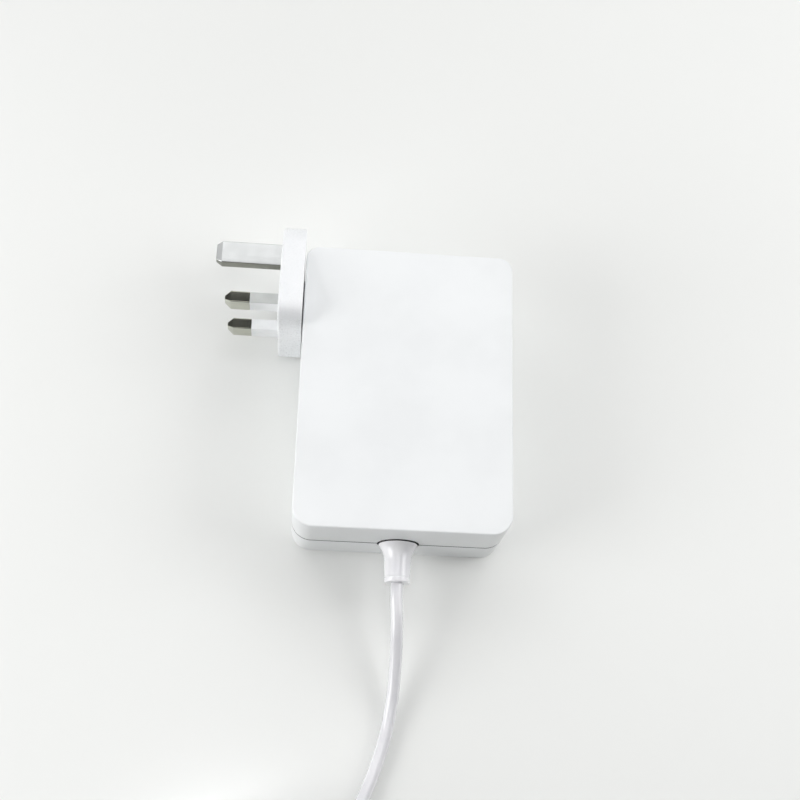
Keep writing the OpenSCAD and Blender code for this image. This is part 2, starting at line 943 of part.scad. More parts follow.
module cord_tail() {
  color("white")
    tube_along(tail_route, [0, -1, 0], [-1, 0, 0], cord_d / 2, cord_sides);
}

// The coil winds clockwise: in on the first layer, out on the next, and so on.
// It climbs a layer in the half turn round each place where the spiral turns back.
function coil_r(turn) =
  let (layer = floor(turn / turns_per_layer), into = turn - layer * turns_per_layer)
  coil_out_r - coil_pitch * (layer % 2 == 0 ? into : turns_per_layer - into);

function climb(turn, at) = (1 + sin(180 * min(max((turn - at) * 2, -0.5), 0.5))) / 2;

function coil_z(turn) =
  let (steps = [for (k = [1:coil_layers - 1]) climb(turn, k * turns_per_layer)])
  coil_start.z + coil_pitch * (steps * [for (s = steps) 1]);

function coil_point(turn) =
  let (r = coil_r(turn))
  [coil_centre.x + r * cos(-360 * turn), coil_centre.y + r * sin(-360 * turn), coil_z(turn)];

coil_turns = coil_layers * turns_per_layer;
coil_loops = [for (k = [0:coil_turns * coil_steps]) coil_point(k / coil_steps)];
coil_path = concat(
  [coil_start + [0, cord_d, 0]],
  coil_loops,
  [[coil_start.x, coil_start.y - cord_d, coil_top_z]]
);

// Least gap between stretches of the coil that are over a third of a turn apart
coil_least_gap = min([
  for (i = [0:len(coil_loops) - 1])
    for (j = [i + 8:1:len(coil_loops) - 1])
      norm(coil_loops[i] - coil_loops[j])
]) - cord_d;

function path_length(path) =
  [for (k = [1:len(path) - 1]) norm(path[k] - path[k - 1])] * [for (k = [1:len(path) - 1]) 1];

module cord_coil() {
  echo(coil_least_gap = coil_least_gap, coil_length = path_length(coil_path),
       free_length = path_length(cord_route) + path_length(tail_route));
  color("white")
    tube_along(coil_path, [0, -1, 0], [0, -1, 0], cord_d / 2, coil_sides);
}

module cord_tie() {
  slack = 0.25;
  hole_r = coil_out_r - turns_per_layer * coil_pitch - cord_d / 2;
  x0 = coil_centre.x - coil_out_r - cord_d / 2 - slack;
  x1 = coil_centre.x - sqrt(pow(hole_r, 2) - pow(tie_w / 2, 2)) + slack + 1;
  z0 = tie_t + 0.05;
  z1 = coil_top_z + cord_d / 2 + slack;
  mid = [(x0 + x1) / 2, (z0 + z1) / 2];
  color("gainsboro")
    translate([mid.x, coil_centre.y + tie_w / 2, mid.y])
      rotate([90, 0, 0])
        linear_extrude(tie_w)
          difference() {
            rounded_rect(x1 - x0 + 2 * tie_t, z1 - z0 + 2 * tie_t, 2);
            rounded_rect(x1 - x0, z1 - z0, 2 - tie_t);
          }
}

// ---- low-voltage plug, pointing to -X ----

module on_plug_axis(along) {
  translate([plug_at.x - along, plug_at.y, plug_at.z])
    rotate([0, -90, 0])
      children();
}

grip_end = grip_tail_l + grip_l;
barrel_end = grip_end + barrel_l;
contact_od = barrel_bore + 2 * core_wall;
insulator_d = barrel_d - 2 * barrel_wall - 2 * touch;
plug_root = grip_end - barrel_root + touch;
root_d = barrel_d - 2 * root_step;

module dc_plug_grip() {
  shoulder = 1.5;
  tail_r = cord_d / 2 + 0.6;
  r = grip_d / 2;
  nose = 0.6;
  color("white")
    on_plug_axis(0)
      difference() {
        rotate_extrude()
          polygon(concat(
            [[0, 0], [tail_r, 0], [tail_r + 0.5, grip_tail_l]],
            [
              for (a = [0:15:90])
                [r - shoulder + shoulder * sin(a), grip_tail_l + 1 + shoulder * (1 - cos(a))]
            ],
            [[r, grip_end - nose], [r - nose, grip_end], [0, grip_end]]
          ));
        translate([0, 0, grip_end - barrel_root])
          cylinder(h = barrel_root + 1, d = root_d + 2 * touch);
      }
}

module sleeve(from, to, outer_d, bore_d) {
  on_plug_axis(from)
    difference() {
      cylinder(h = to - from, d = outer_d, $fn = 48);
      translate([0, 0, -1])
        cylinder(h = to - from + 2, d = bore_d, $fn = 48);
    }
}

module dc_plug_barrel() {
  bore = barrel_d - 2 * barrel_wall;
  color("silver") {
    sleeve(plug_root, grip_end + root_step, root_d, bore);
    sleeve(grip_end + root_step, barrel_end - 0.3, barrel_d, bore);
  }
}

module dc_plug_insulator() {
  color("black")
    sleeve(plug_root, barrel_end, insulator_d, contact_od + 2 * touch);
}

module dc_plug_contact() {
  color("gold")
    sleeve(plug_root, barrel_end - 0.6, contact_od, barrel_bore);
}

// ---- mains head ----

// A solid of the head's outline, made smaller by inset, with front edges rounded by e
module head_block(x0, x1, inset, e) {
  corner = head_corner_r - inset;
  hull() {
    for (s = [-1, 1])
      translate([x0, near_corner[0], head_z + s * near_corner[1]])
        edge_disc(x1 - x0, max(corner, 0.4), e);
    translate([x0, far_centre[0], head_z])
      edge_disc(x1 - x0, head_far_r - inset, e);
  }
}

module edge_disc(t, r, e) {
  rotate([0, 90, 0])
    rotate_extrude($fn = 48)
      polygon(concat(
        [[0, 0]],
        [for (a = [0:22.5:90]) [r - e + e * sin(a), e * (1 - cos(a))]],
        [[r, t], [0, t]]
      ));
}

module pin_profile(w, h) {
  rounded_rect(w, h, pin_edge_r);
}

module head_shell() {
  color("white")
    difference() {
      head_block(face_x, back_x, 0, head_edge_r);
      head_block(face_x + head_wall, back_x + 1, head_rim, 0.01);
      for (s = [-1, 1])
        along_x(face_x - 1, face_x + head_wall + 1)
          translate([head_y, head_z + s * pin_pitch / 2])
            pin_profile(pin_t + 2 * pin_fit, pin_w + 2 * pin_fit);
      along_x(face_x - 1, face_x + head_wall + 1)
        translate([head_y + earth_offset, head_z])
          pin_profile(earth_w + 2 * pin_fit, earth_t + 2 * pin_fit);
    }
}

module head_back() {
  color("white")
    difference() {
      union() {
        head_block(plate_x, back_x, head_rim + 0.1, 0.01);
        along_x(back_x - back_t / 2, stem_end_x)
          translate([inlet_y, inlet_z])
            rounded_rect(stem_w, stem_h, stem_r);
      }
      for (s = [-1, 1])
        translate([plate_x - 1, inlet_y + s * contact_pitch / 2, inlet_z])
          rotate([0, 90, 0])
            cylinder(h = back_t + stem_l + 2, d = tube_d + 2 * touch);
    }
}

// A blade from the tip at x0 to its root at x1, with a tapered tip
module blade(x0, x1, w, h, tip_w, tip_h) {
  along_x(x0 + tip_l, x1)
    pin_profile(w, h);
  hull() {
    along_x(x0 + tip_l, x0 + tip_l + 0.2)
      pin_profile(w, h);
    along_x(x0, x0 + 0.2)
      rounded_rect(tip_w, tip_h, 0.3);
  }
}

// Live and neutral pins: full size at the tip, and a thinner neck inside the sleeve
module mains_pin(s) {
  tip_x = face_x - pin_l;
  tip_w = 1.2;
  tip_h = 3.4;
  neck_w = pin_w - 2 * sleeve_t - 2 * pin_fit;
  neck_t = pin_t - 2 * sleeve_t - 2 * pin_fit;
  inside = face_x + head_wall + touch;
  translate([0, head_y, head_z + s * pin_pitch / 2]) {
    blade(tip_x, face_x - sleeve_l - touch, pin_t, pin_w, tip_w, tip_h);
    along_x(face_x - sleeve_l - 2 * touch, strap_x - touch)
      square([neck_t, neck_w], center = true);
    along_x(inside, inside + collar_t)
      square([pin_t + 2, pin_w + 2], center = true);
  }
}

module live_pin() {
  color("lightgray")
    mains_pin(-1);
}

module neutral_pin() {
  color("lightgray")
    mains_pin(1);
}

module earth_pin() {
  inside = face_x + head_wall + touch;
  color("lightgray")
    translate([0, head_y + earth_offset, head_z]) {
      blade(face_x - earth_l, inside + collar_t, earth_w, earth_t, earth_w - 2.4, earth_t - 1.8);
      along_x(inside, inside + collar_t)
        square([earth_w + 2, earth_t + 2], center = true);
    }
}

module pin_sleeves() {
  color("whitesmoke")
    for (s = [-1, 1])
      translate([0, head_y, head_z + s * pin_pitch / 2])
        difference() {
          along_x(face_x - sleeve_l, face_x + head_wall)
            pin_profile(pin_t, pin_w);
          along_x(face_x - sleeve_l - 1, face_x + head_wall + 1)
            square([pin_t - 2 * sleeve_t, pin_w - 2 * sleeve_t], center = true);
        }
}

// A strip of the given width between two places, with a round eye at each
module strip(a, b, w, eye_d) {
  run = b - a;
  translate(a)
    rotate(atan2(run.y, run.x))
      translate([0, -w / 2])
        square([norm(run), w]);
  for (p = [a, b])
    translate(p)
      circle(d = eye_d);
}

module contact_straps() {
  strap_w = 3.6;
  eye_d = 5.2;
  color("goldenrod")
    along_x(strap_x, strap_x + strap_t)
      for (s = [-1, 1])
        strip(
          [head_y, head_z + s * pin_pitch / 2],
          [inlet_y + s * contact_pitch / 2, inlet_z],
          strap_w,
          eye_d
        );
}

module contact_tubes() {
  bore_l = contact_reach + 1;
  color("goldenrod")
    for (s = [-1, 1])
      translate([plate_x, inlet_y + s * contact_pitch / 2, inlet_z])
        rotate([0, 90, 0])
          difference() {
            cylinder(h = back_t + stem_l - touch, d = tube_d);
            translate([0, 0, back_t + stem_l - bore_l])
              cylinder(h = bore_l + 1, d = contact_d + 2 * contact_fit);
          }
}

bottom_cover();
top_cover();
inlet_socket();
inlet_pins();
inlet_wires();
circuit_board();
insulation_sheet();
fuse();
surge_varistor();
mains_capacitor();
mains_choke_core();
mains_choke_windings();
bridge_rectifier();
bulk_capacitor();
transformer_core();
transformer_bobbin();
transformer_winding();
primary_heatsink();
switch_transistor();
secondary_heatsink();
rectifier_transistor();
heatsink_screws();
safety_capacitor();
optocoupler();
controller_chip();
output_choke();
output_capacitors();
output_wires();
heat_spreader();
thermal_pad();
strain_relief();
inner_lead();
dc_cord();
cord_coil();
cord_tail();
cord_tie();
dc_plug_grip();
dc_plug_barrel();
dc_plug_insulator();
dc_plug_contact();
head_shell();
head_back();
earth_pin();
live_pin();
neutral_pin();
pin_sleeves();
contact_straps();
contact_tubes();
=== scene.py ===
# Laptop power adapter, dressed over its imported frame: mouldings, pins, lead, finishes and studio.
# Metres. The housing lies on the floor at z = 0, the mains head is on its -X side, and the
# lead leaves its -Y end.

import json
import math

import bmesh
import bpy
from mathutils import Euler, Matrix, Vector


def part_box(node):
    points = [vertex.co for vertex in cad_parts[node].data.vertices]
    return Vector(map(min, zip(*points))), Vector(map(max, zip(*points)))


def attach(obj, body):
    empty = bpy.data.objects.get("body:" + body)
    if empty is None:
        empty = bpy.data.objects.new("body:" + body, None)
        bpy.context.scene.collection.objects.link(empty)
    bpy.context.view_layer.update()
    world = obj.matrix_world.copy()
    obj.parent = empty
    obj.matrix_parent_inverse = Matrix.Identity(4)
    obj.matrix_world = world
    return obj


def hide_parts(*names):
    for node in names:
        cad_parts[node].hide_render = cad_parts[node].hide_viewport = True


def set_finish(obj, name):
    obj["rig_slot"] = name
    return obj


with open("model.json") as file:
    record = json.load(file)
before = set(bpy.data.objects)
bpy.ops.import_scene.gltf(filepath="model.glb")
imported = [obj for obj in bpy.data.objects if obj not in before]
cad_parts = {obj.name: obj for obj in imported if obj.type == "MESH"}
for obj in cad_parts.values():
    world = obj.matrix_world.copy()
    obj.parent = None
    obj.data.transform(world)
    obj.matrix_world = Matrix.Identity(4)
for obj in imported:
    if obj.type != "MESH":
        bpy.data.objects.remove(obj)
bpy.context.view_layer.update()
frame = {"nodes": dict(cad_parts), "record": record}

MM = 0.001
X, Y, Z = range(3)   # the axes, as places in a vector


# ---- camera ----

CAMERA_AT = (-0.031184, -0.143156, 0.410618)
CAMERA_TURN = (19.9056, -4.976, 1.5847)   # degrees about X, Y and Z
LENS = 55.895                             # millimetres, as the sensor's width is
SENSOR = 36
NEAREST, FARTHEST = 0.01, 20              # what the camera takes in


def place_camera():
    data = bpy.data.cameras.new("camera")
    data.sensor_width = SENSOR
    data.lens = LENS
    data.clip_start = NEAREST
    data.clip_end = FARTHEST
    camera = bpy.data.objects.new("camera", data)
    bpy.context.scene.collection.objects.link(camera)
    camera.location = CAMERA_AT
    camera.rotation_euler = Euler([math.radians(turn) for turn in CAMERA_TURN])
    bpy.context.scene.camera = camera


# ---- lead ----

CORD_D = 4.2 * MM
CORD_ROUTE = [
    (0, -0.0615, 0.015), (0, -0.066, 0.0149), (0.0003, -0.071, 0.014), (0.0006, -0.0765, 0.0122),
    (0.0008, -0.082, 0.0098), (0.0008, -0.088, 0.0072), (0.0006, -0.094, 0.0049),
    (0, -0.1, 0.0033), (-0.001, -0.1065, 0.0024), (-0.0026, -0.113, 0.0022),
    (-0.0048, -0.12, 0.0022), (-0.0074, -0.1268, 0.0022), (-0.0102, -0.1332, 0.0022),
    (-0.0128, -0.1398, 0.0024), (-0.0148, -0.1466, 0.0026), (-0.0158, -0.1524, 0.0027),
    (-0.016, -0.1578, 0.0027),
]
TAIL_ROUTE = [
    (-0.016, -0.1662, 0.01665), (-0.016, -0.171, 0.0163), (-0.0168, -0.1765, 0.0149),
    (-0.019, -0.182, 0.0125), (-0.0228, -0.1875, 0.0098), (-0.028, -0.1928, 0.0074),
    (-0.034, -0.1968, 0.0056), (-0.039, -0.199, 0.0047), (-0.0435, -0.1995, 0.0045),
]
COIL_MID_D = 47.5 * MM   # across the middle of its turns
COIL_GAP = 0.45 * MM     # between turns and between layers
COIL_PITCH = CORD_D + COIL_GAP
COIL_LAYERS = 4
TURNS_PER_LAYER = 2.75
CLIMB_TURNS = 0.5        # how much of a turn a climb to the next layer takes
COIL_STEPS = 24          # points on a turn
COIL_START = Vector((-0.016, -0.162, 0.0027))
COIL_OUT_R = COIL_MID_D / 2 + TURNS_PER_LAYER * COIL_PITCH / 2
COIL_CENTRE = COIL_START - Vector((COIL_OUT_R, 0, 0))
LEAD_ROUND_STEPS = 6     # fineness of its round section
LEAD_ROUTE_STEPS = 5     # fineness between two points of its route


def climb(turn, at):
    """How far, from 0 to 1, the lead has climbed a layer at the place where the spiral turns back."""
    share = min(max((turn - at) / CLIMB_TURNS, -0.5), 0.5)
    return (1 + math.sin(math.pi * share)) / 2


def coil_point(turn):
    """Where the coiled lead is after that many turns, in on one layer and out on the next."""
    layer = math.floor(turn / TURNS_PER_LAYER)
    into = turn - layer * TURNS_PER_LAYER
    if layer % 2:
        into = TURNS_PER_LAYER - into
    r = COIL_OUT_R - COIL_PITCH * into
    angle = -2 * math.pi * turn
    rise = COIL_PITCH * sum(climb(turn, k * TURNS_PER_LAYER) for k in range(1, COIL_LAYERS))
    return COIL_CENTRE + Vector((r * math.cos(angle), r * math.sin(angle), rise))


def lead():
    """The low-voltage lead: from the strain relief, through its coil, to the plug."""
    steps = int(COIL_LAYERS * TURNS_PER_LAYER * COIL_STEPS)
    coil = [coil_point(k / COIL_STEPS) for k in range(steps + 1)]
    route = [Vector(p) for p in CORD_ROUTE] + coil + [Vector(p) for p in TAIL_ROUTE]
    curve = bpy.data.curves.new("lead", "CURVE")
    curve.dimensions = "3D"
    curve.bevel_depth = 1   # times each point's radius
    curve.bevel_resolution = LEAD_ROUND_STEPS
    curve.resolution_u = LEAD_ROUTE_STEPS
    curve.use_fill_caps = True
    spline = curve.splines.new("BEZIER")
    spline.bezier_points.add(len(route) - 1)
    for point, place in zip(spline.bezier_points, route):
        point.co = place
        point.radius = CORD_D / 2
        point.handle_left_type = point.handle_right_type = "AUTO"
    piece = bpy.data.objects.new("lead", curve)
    bpy.context.scene.collection.objects.link(piece)
    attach(piece, "housing")
    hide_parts("dc_cord", "cord_coil", "cord_tail")
    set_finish(piece, "lead_jacket")
    return piece


# ---- modelling by hand ----

SAME_PLACE = 1e-6               # places this near each other count as one
DOUBLES = 1e-7                  # corners this near each other are merged
SQUARE_ON = 0.999               # a face looks along an axis if its normal's share of it is above this
SOFT_ANGLE = math.radians(32)   # edges flatter than this are shaded round
LARGE_FACES_WIN = 100           # the weight at which the largest faces set the shading of a corner

TO_MINUS_X = (0, -math.pi / 2, 0)   # turns a primitive's own axis to -X
TO_MINUS_Y = (math.pi / 2, 0, 0)


def clear_selection():
    bpy.ops.object.select_all(action="DESELECT")


def begin(name):
    """Names the primitive that was just added and opens it in edit mode, with its place in its mesh."""
    piece = bpy.context.active_object
    piece.name = piece.data.name = name
    bpy.ops.object.transform_apply(location=True, rotation=True, scale=True)
    bpy.ops.object.mode_set(mode="EDIT")
    return piece


def block(name, low, high):
    clear_selection()
    low, high = Vector(low), Vector(high)
    bpy.ops.mesh.primitive_cube_add(size=1, location=(low + high) / 2, scale=high - low)
    return begin(name)


def disc(name, at, radius, turn, sides):
    """A flat round face; the turn, in radians about X, Y and Z, points its own axis."""
    clear_selection()
    bpy.ops.mesh.primitive_circle_add(
        vertices=sides, radius=radius, fill_type="NGON", location=at, rotation=turn
    )
    return begin(name)


def pick(piece, kind, test):
    """Selects the faces or the edges of the open mesh that pass a test."""
    bpy.ops.mesh.select_mode(type={"faces": "FACE", "edges": "EDGE"}[kind])
    bpy.ops.mesh.select_all(action="DESELECT")
    mesh = bmesh.from_edit_mesh(piece.data)
    for part in getattr(mesh, kind):
        if test(part):
            part.select_set(True)
    mesh.select_flush_mode()
    bmesh.update_edit_mesh(piece.data)


def near(a, b):
    return abs(a - b) < SAME_PLACE


def lies_at(edge, axis, value):
    return all(near(corner.co[axis], value) for corner in edge.verts)


def runs_along(edge, axis):
    a, b = (corner.co for corner in edge.verts)
    return all(near(a[k], b[k]) for k in (X, Y, Z) if k != axis)


def faces_way(face, axis, sign):
    return face.normal[axis] * sign > SQUARE_ON


def centred_at(face, axis, value):
    return near(face.calc_center_median()[axis], value)


def round_edges(width, segments):
    bpy.ops.mesh.bevel(offset=width, segments=segments, profile=0.5, affect="EDGES")


def inset(width):
    bpy.ops.mesh.inset(thickness=width, use_even_offset=True)


def extrude(step):
    bpy.ops.mesh.extrude_region_move(TRANSFORM_OT_translate={"value": step})


def scale_about(point, shares):
    bpy.ops.transform.resize(value=shares, center_override=point)


def grown(section, by):
    """A section, which is a width along Y and a height along Z, with that much more on each side."""
    return section[0] + 2 * by, section[1] + 2 * by


def bar(name, x0, x1, middle, section, radius, steps):
    """A bar along X with rounded long edges, left open for more work."""
    y, z = middle
    half_w, half_h = section[0] / 2, section[1] / 2
    piece = block(name, (x0, y - half_w, z - half_h), (x1, y + half_w, z + half_h))
    pick(piece, "edges", lambda edge: runs_along(edge, X))
    round_edges(radius, steps)
    return piece


def close_edit():
    """Ends edit mode with all normals outwards."""
    bpy.ops.mesh.select_mode(type="VERT")
    bpy.ops.mesh.select_all(action="SELECT")
    bpy.ops.mesh.remove_doubles(threshold=DOUBLES)
    bpy.ops.mesh.normals_make_consistent(inside=False)
    bpy.ops.object.mode_set(mode="OBJECT")


def activate(piece):
    clear_selection()
    piece.select_set(True)
    bpy.context.view_layer.objects.active = piece


def cut(piece, cutter):
    """Takes the cutter's shape out of a piece, and removes the cutter."""
    activate(piece)
    tool = piece.modifiers.new("cut", "BOOLEAN")
    tool.operation = "DIFFERENCE"
    tool.solver = "EXACT"
    tool.object = cutter
    bpy.ops.object.modifier_apply(modifier=tool.name)
    bpy.data.objects.remove(cutter)


def smooth(piece, angle):
    """Round surfaces shaded round, flat ones kept flat right up to their rounded edges."""
    activate(piece)
    bpy.ops.object.shade_smooth_by_angle(angle=angle)
    tool = piece.modifiers.new("even_shading", "WEIGHTED_NORMAL")
    tool.keep_sharp = True
    tool.weight = LARGE_FACES_WIN
    bpy.ops.object.modifier_apply(modifier=tool.name)


def hand_over(piece, node, body, slot, angle=SOFT_ANGLE):
    """Shades a finished piece and lets it stand for its solid."""
    smooth(piece, angle)
    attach(piece, body)
    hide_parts(node)
    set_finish(piece, slot)
    return piece


# ---- sizes that several pieces share ----

TOP_LOW, TOP_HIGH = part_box("top_cover")
HEAD_LOW, HEAD_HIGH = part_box("head_shell")
RELIEF_LOW, RELIEF_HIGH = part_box("strain_relief")
SIDE_X = TOP_HIGH.x
END_Y = TOP_HIGH.y
HEAD_Z = (HEAD_LOW.z + HEAD_HIGH.z) / 2
RELIEF_Z = (RELIEF_LOW.z + RELIEF_HIGH.z) / 2
SEAM_GAP = 0.5 * MM
SEAM_Z = TOP_LOW.z - SEAM_GAP / 2

WALL = 2.2 * MM            # of the housing
HEAD_WALL = 2.4 * MM       # of the head, in front
HEAD_RIM = 1.8 * MM        # of the head, all round
EDGE_STEPS = 5

RELIEF_RING = 0.4 * MM     # gap between the strain relief's base and the edge of its recess
RELIEF_STAND = 0.3 * MM    # gap between the base and the housing's face
RELIEF_BASE_R = 6.45 * MM
RELIEF_NECK_R = 5.5 * MM   # where it passes through the wall


# ---- housing ----

LEAD_END_R = 6.5 * MM      # upright corners
FAR_END_R = 4.5 * MM
CORNER_STEPS = 14
TOP_EDGE_R = 0.6 * MM
BASE_EDGE_R = 1.2 * MM
SEAM_EDGE_R = 0.1 * MM
SEAM_EDGE_STEPS = 2
LIP_T = 0.9 * MM
LIP_H = 1.6 * MM
LIP_PLAY = 0.1 * MM

STEM_SECTION = (20.0 * MM, 12.0 * MM)   # of the mains head's stem, along Y and Z
STEM_R = 3.0 * MM
STEM_STEPS = 10
STEM_PLAY = 0.3 * MM
STEM_MARGIN = 0.5 * MM     # between the stem and the head's rim
STEM_Y = HEAD_LOW.y + HEAD_RIM + STEM_MARGIN + STEM_SECTION[0] / 2

RECESS_DEPTH = 1.2 * MM
RECESS_SIDES = 64


def inlet_opening():
    """The hole for the mains head's stem, with its clearance."""
    cutter = bar(
        "inlet_cutter", -SIDE_X - WALL, -SIDE_X + 2 * WALL, (STEM_Y, SEAM_Z),
        grown(STEM_SECTION, STEM_PLAY), STEM_R + STEM_PLAY, STEM_STEPS,
    )
    close_edit()
    return cutter


def relief_opening():
    """The stepped round hole for the strain relief."""
    start = (0, -END_Y - WALL, RELIEF_Z)
    cutter = disc("relief_cutter", start, RELIEF_BASE_R + RELIEF_RING, TO_MINUS_Y, RECESS_SIDES)
    extrude((0, WALL + RECESS_DEPTH, 0))
    pick(cutter, "faces", lambda face: centred_at(face, Y, -END_Y + RECESS_DEPTH))
    inset(RELIEF_BASE_R - RELIEF_NECK_R)
    extrude((0, 2 * WALL, 0))
    close_edit()
    return cutter


def half_housing(name, open_z, closed_z, edge_r, rim, step, step_t):
    """One cover: a rounded block, hollowed from its open side, with its two openings cut. Inside its
    rim runs a step, step_t wide, that goes in or, where step is below 0, stands out as a lip."""
    up = 1 if closed_z > open_z else -1
    piece = block(
        name,
        (-SIDE_X, -END_Y, min(open_z, closed_z)),
        (SIDE_X, END_Y, max(open_z, closed_z)),
    )
    for end_y, radius in ((-END_Y, LEAD_END_R), (END_Y, FAR_END_R)):
        pick(piece, "edges", lambda edge: runs_along(edge, Z) and lies_at(edge, Y, end_y))
        round_edges(radius, CORNER_STEPS)
    pick(piece, "edges", lambda edge: lies_at(edge, Z, closed_z))
    round_edges(edge_r, EDGE_STEPS)
    pick(piece, "edges", lambda edge: lies_at(edge, Z, open_z))
    round_edges(SEAM_EDGE_R, SEAM_EDGE_STEPS)
    pick(piece, "faces", lambda face: faces_way(face, Z, -up))
    inset(rim - SEAM_EDGE_R)
    extrude((0, 0, up * step))
    inset(step_t)
    extrude((0, 0, closed_z - up * WALL - open_z - up * step))
    close_edit()
    cut(piece, inlet_opening())
    cut(piece, relief_opening())
    return piece


def top_cover():
    piece = half_housing(
        "top_cover_moulding", TOP_LOW.z, TOP_HIGH.z, TOP_EDGE_R,
        rim=WALL - LIP_T - LIP_PLAY, step=LIP_H, step_t=LIP_T + LIP_PLAY,
    )
    return hand_over(piece, "top_cover", "housing", "housing_plastic")


def bottom_cover():
    base_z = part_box("bottom_cover")[0].z
    piece = half_housing(
        "bottom_cover_moulding", SEAM_Z - SEAM_GAP / 2, base_z, BASE_EDGE_R,
        rim=WALL - LIP_T, step=-(LIP_H + SEAM_GAP / 2), step_t=LIP_T,
    )
    return hand_over(piece, "bottom_cover", "housing", "housing_plastic")


# ---- mains pins ----

MAINS_SECTION = (4.0 * MM, 6.35 * MM)   # a section is a width along Y and a height along Z
EARTH_SECTION = (8.0 * MM, 4.0 * MM)
PIN_SECTIONS = {
    "live_pin": MAINS_SECTION,
    "neutral_pin": MAINS_SECTION,
    "earth_pin": EARTH_SECTION,
}
MAINS_TIP = (1.2 * MM, 3.4 * MM)
EARTH_TIP = (5.6 * MM, 2.2 * MM)
TIP_L = 2.0 * MM
TIP_EDGE_R = 0.15 * MM
PIN_EDGE_R = 0.4 * MM
PIN_EDGE_STEPS = 7
PIN_SOFT_ANGLE = math.radians(15)       # lets the edges where a tip begins stay sharp
PIN_PLAY = 0.05 * MM
SLEEVE_L = 9.4 * MM
SLEEVE_T = 0.6 * MM
SLEEVE_EDGE_STEPS = 4
COLLAR = 1.0 * MM                       # how far a collar stands out
COLLAR_T = 1.2 * MM
COLLAR_X = HEAD_LOW.x + HEAD_WALL + PIN_PLAY
COLLAR_END_X = COLLAR_X + COLLAR_T


def middle(node):
    """The Y and Z of the line that a pin lies on."""
    low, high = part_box(node)
    return (low.y + high.y) / 2, (low.z + high.z) / 2


def blade(node, tip_x, root_x, tip):
    """A bar with softened long edges whose free end is drawn in to a blunt point."""
    section = PIN_SECTIONS[node]
    y, z = middle(node)
    end_x = tip_x + TIP_L
    piece = bar(node + "_metal", end_x, root_x, (y, z), section, PIN_EDGE_R, PIN_EDGE_STEPS)
    pick(piece, "faces", lambda face: faces_way(face, X, -1))
    extrude((tip_x - end_x, 0, 0))
    scale_about((tip_x, y, z), (1, tip[0] / section[0], tip[1] / section[1]))
    pick(piece, "edges", lambda edge: lies_at(edge, X, tip_x))
    round_edges(TIP_EDGE_R, PIN_EDGE_STEPS)
    return piece


def pin(node, root_x, tip, stages):
    """A pin: its blade, and behind it one section after another, each given with the X where it ends."""
    piece = blade(node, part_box(node)[0].x, root_x, tip)
    section = PIN_SECTIONS[node]
    x = root_x
    for next_section, end_x in stages:
        pick(piece, "faces", lambda face: faces_way(face, X, 1) and centred_at(face, X, x))
        extrude((0, 0, 0))
        shares = (1, next_section[0] / section[0], next_section[1] / section[1])
        scale_about((x, *middle(node)), shares)
        extrude((end_x - x, 0, 0))
        section, x = next_section, end_x
    close_edit()
    return hand_over(piece, node, "mains_head", "nickel_plate", PIN_SOFT_ANGLE)


def mains_pin(node):
    """Live or neutral: a full-size end, a neck inside the sleeve, a collar behind the head's wall."""
    neck = grown(MAINS_SECTION, -SLEEVE_T - PIN_PLAY)
    return pin(node, HEAD_LOW.x - SLEEVE_L - PIN_PLAY, MAINS_TIP, [
        (neck, COLLAR_X),
        (grown(MAINS_SECTION, COLLAR), COLLAR_END_X),
        (neck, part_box(node)[1].x),
    ])


def earth_pin():
    """All metal, and full-size as far as its collar."""
    return pin("earth_pin", COLLAR_X, EARTH_TIP, [(grown(EARTH_SECTION, COLLAR), COLLAR_END_X)])


def pin_sleeve(node):
    """The insulating sleeve round the root of a live or neutral pin."""
    piece = bar(
        node + "_sleeve", HEAD_LOW.x - SLEEVE_L, HEAD_LOW.x + HEAD_WALL, middle(node),
        MAINS_SECTION, PIN_EDGE_R, SLEEVE_EDGE_STEPS,
    )
    pick(piece, "faces", lambda face: faces_way(face, X, 1) or faces_way(face, X, -1))
    inset(SLEEVE_T)
    bpy.ops.mesh.bridge_edge_loops()
    close_edit()
    return hand_over(piece, "pin_sleeves", "mains_head", "sleeve_plastic")


# ---- mains head ----

HEAD_R = 4.7 * MM        # near corners
HEAD_FAR_R = 13.3 * MM   # round edge by the earth pin
HEAD_EDGE_R = 0.9 * MM
HEAD_SIDES = 96          # of a whole round
HEAD_FLAT = math.radians(0.5)   # faces that meet flatter than this become one
PIN_HOLE_STEPS = 3


def slab(name, x0, x1, shrink):
    """A slab of the head's outline: the hull of two small rounds and one large, from x0 to x1."""
    near_y = HEAD_LOW.y + HEAD_R
    rounds = [
        (near_y, HEAD_LOW.z + HEAD_R, HEAD_R),
        (near_y, HEAD_HIGH.z - HEAD_R, HEAD_R),
        (HEAD_HIGH.y - HEAD_FAR_R, HEAD_Z, HEAD_FAR_R),
    ]

    def add_round(y, z, radius):
        bpy.ops.mesh.primitive_cylinder_add(
            vertices=HEAD_SIDES, radius=radius - shrink, depth=x1 - x0,
            location=((x0 + x1) / 2, y, z), rotation=TO_MINUS_X,
        )

    clear_selection()
    add_round(*rounds[0])
    piece = begin(name)
    for place in rounds[1:]:
        add_round(*place)
    bpy.ops.mesh.select_all(action="SELECT")
    bpy.ops.mesh.convex_hull(join_triangles=True)
    bpy.ops.mesh.select_all(action="SELECT")
    bpy.ops.mesh.dissolve_limited(angle_limit=HEAD_FLAT)
    return piece


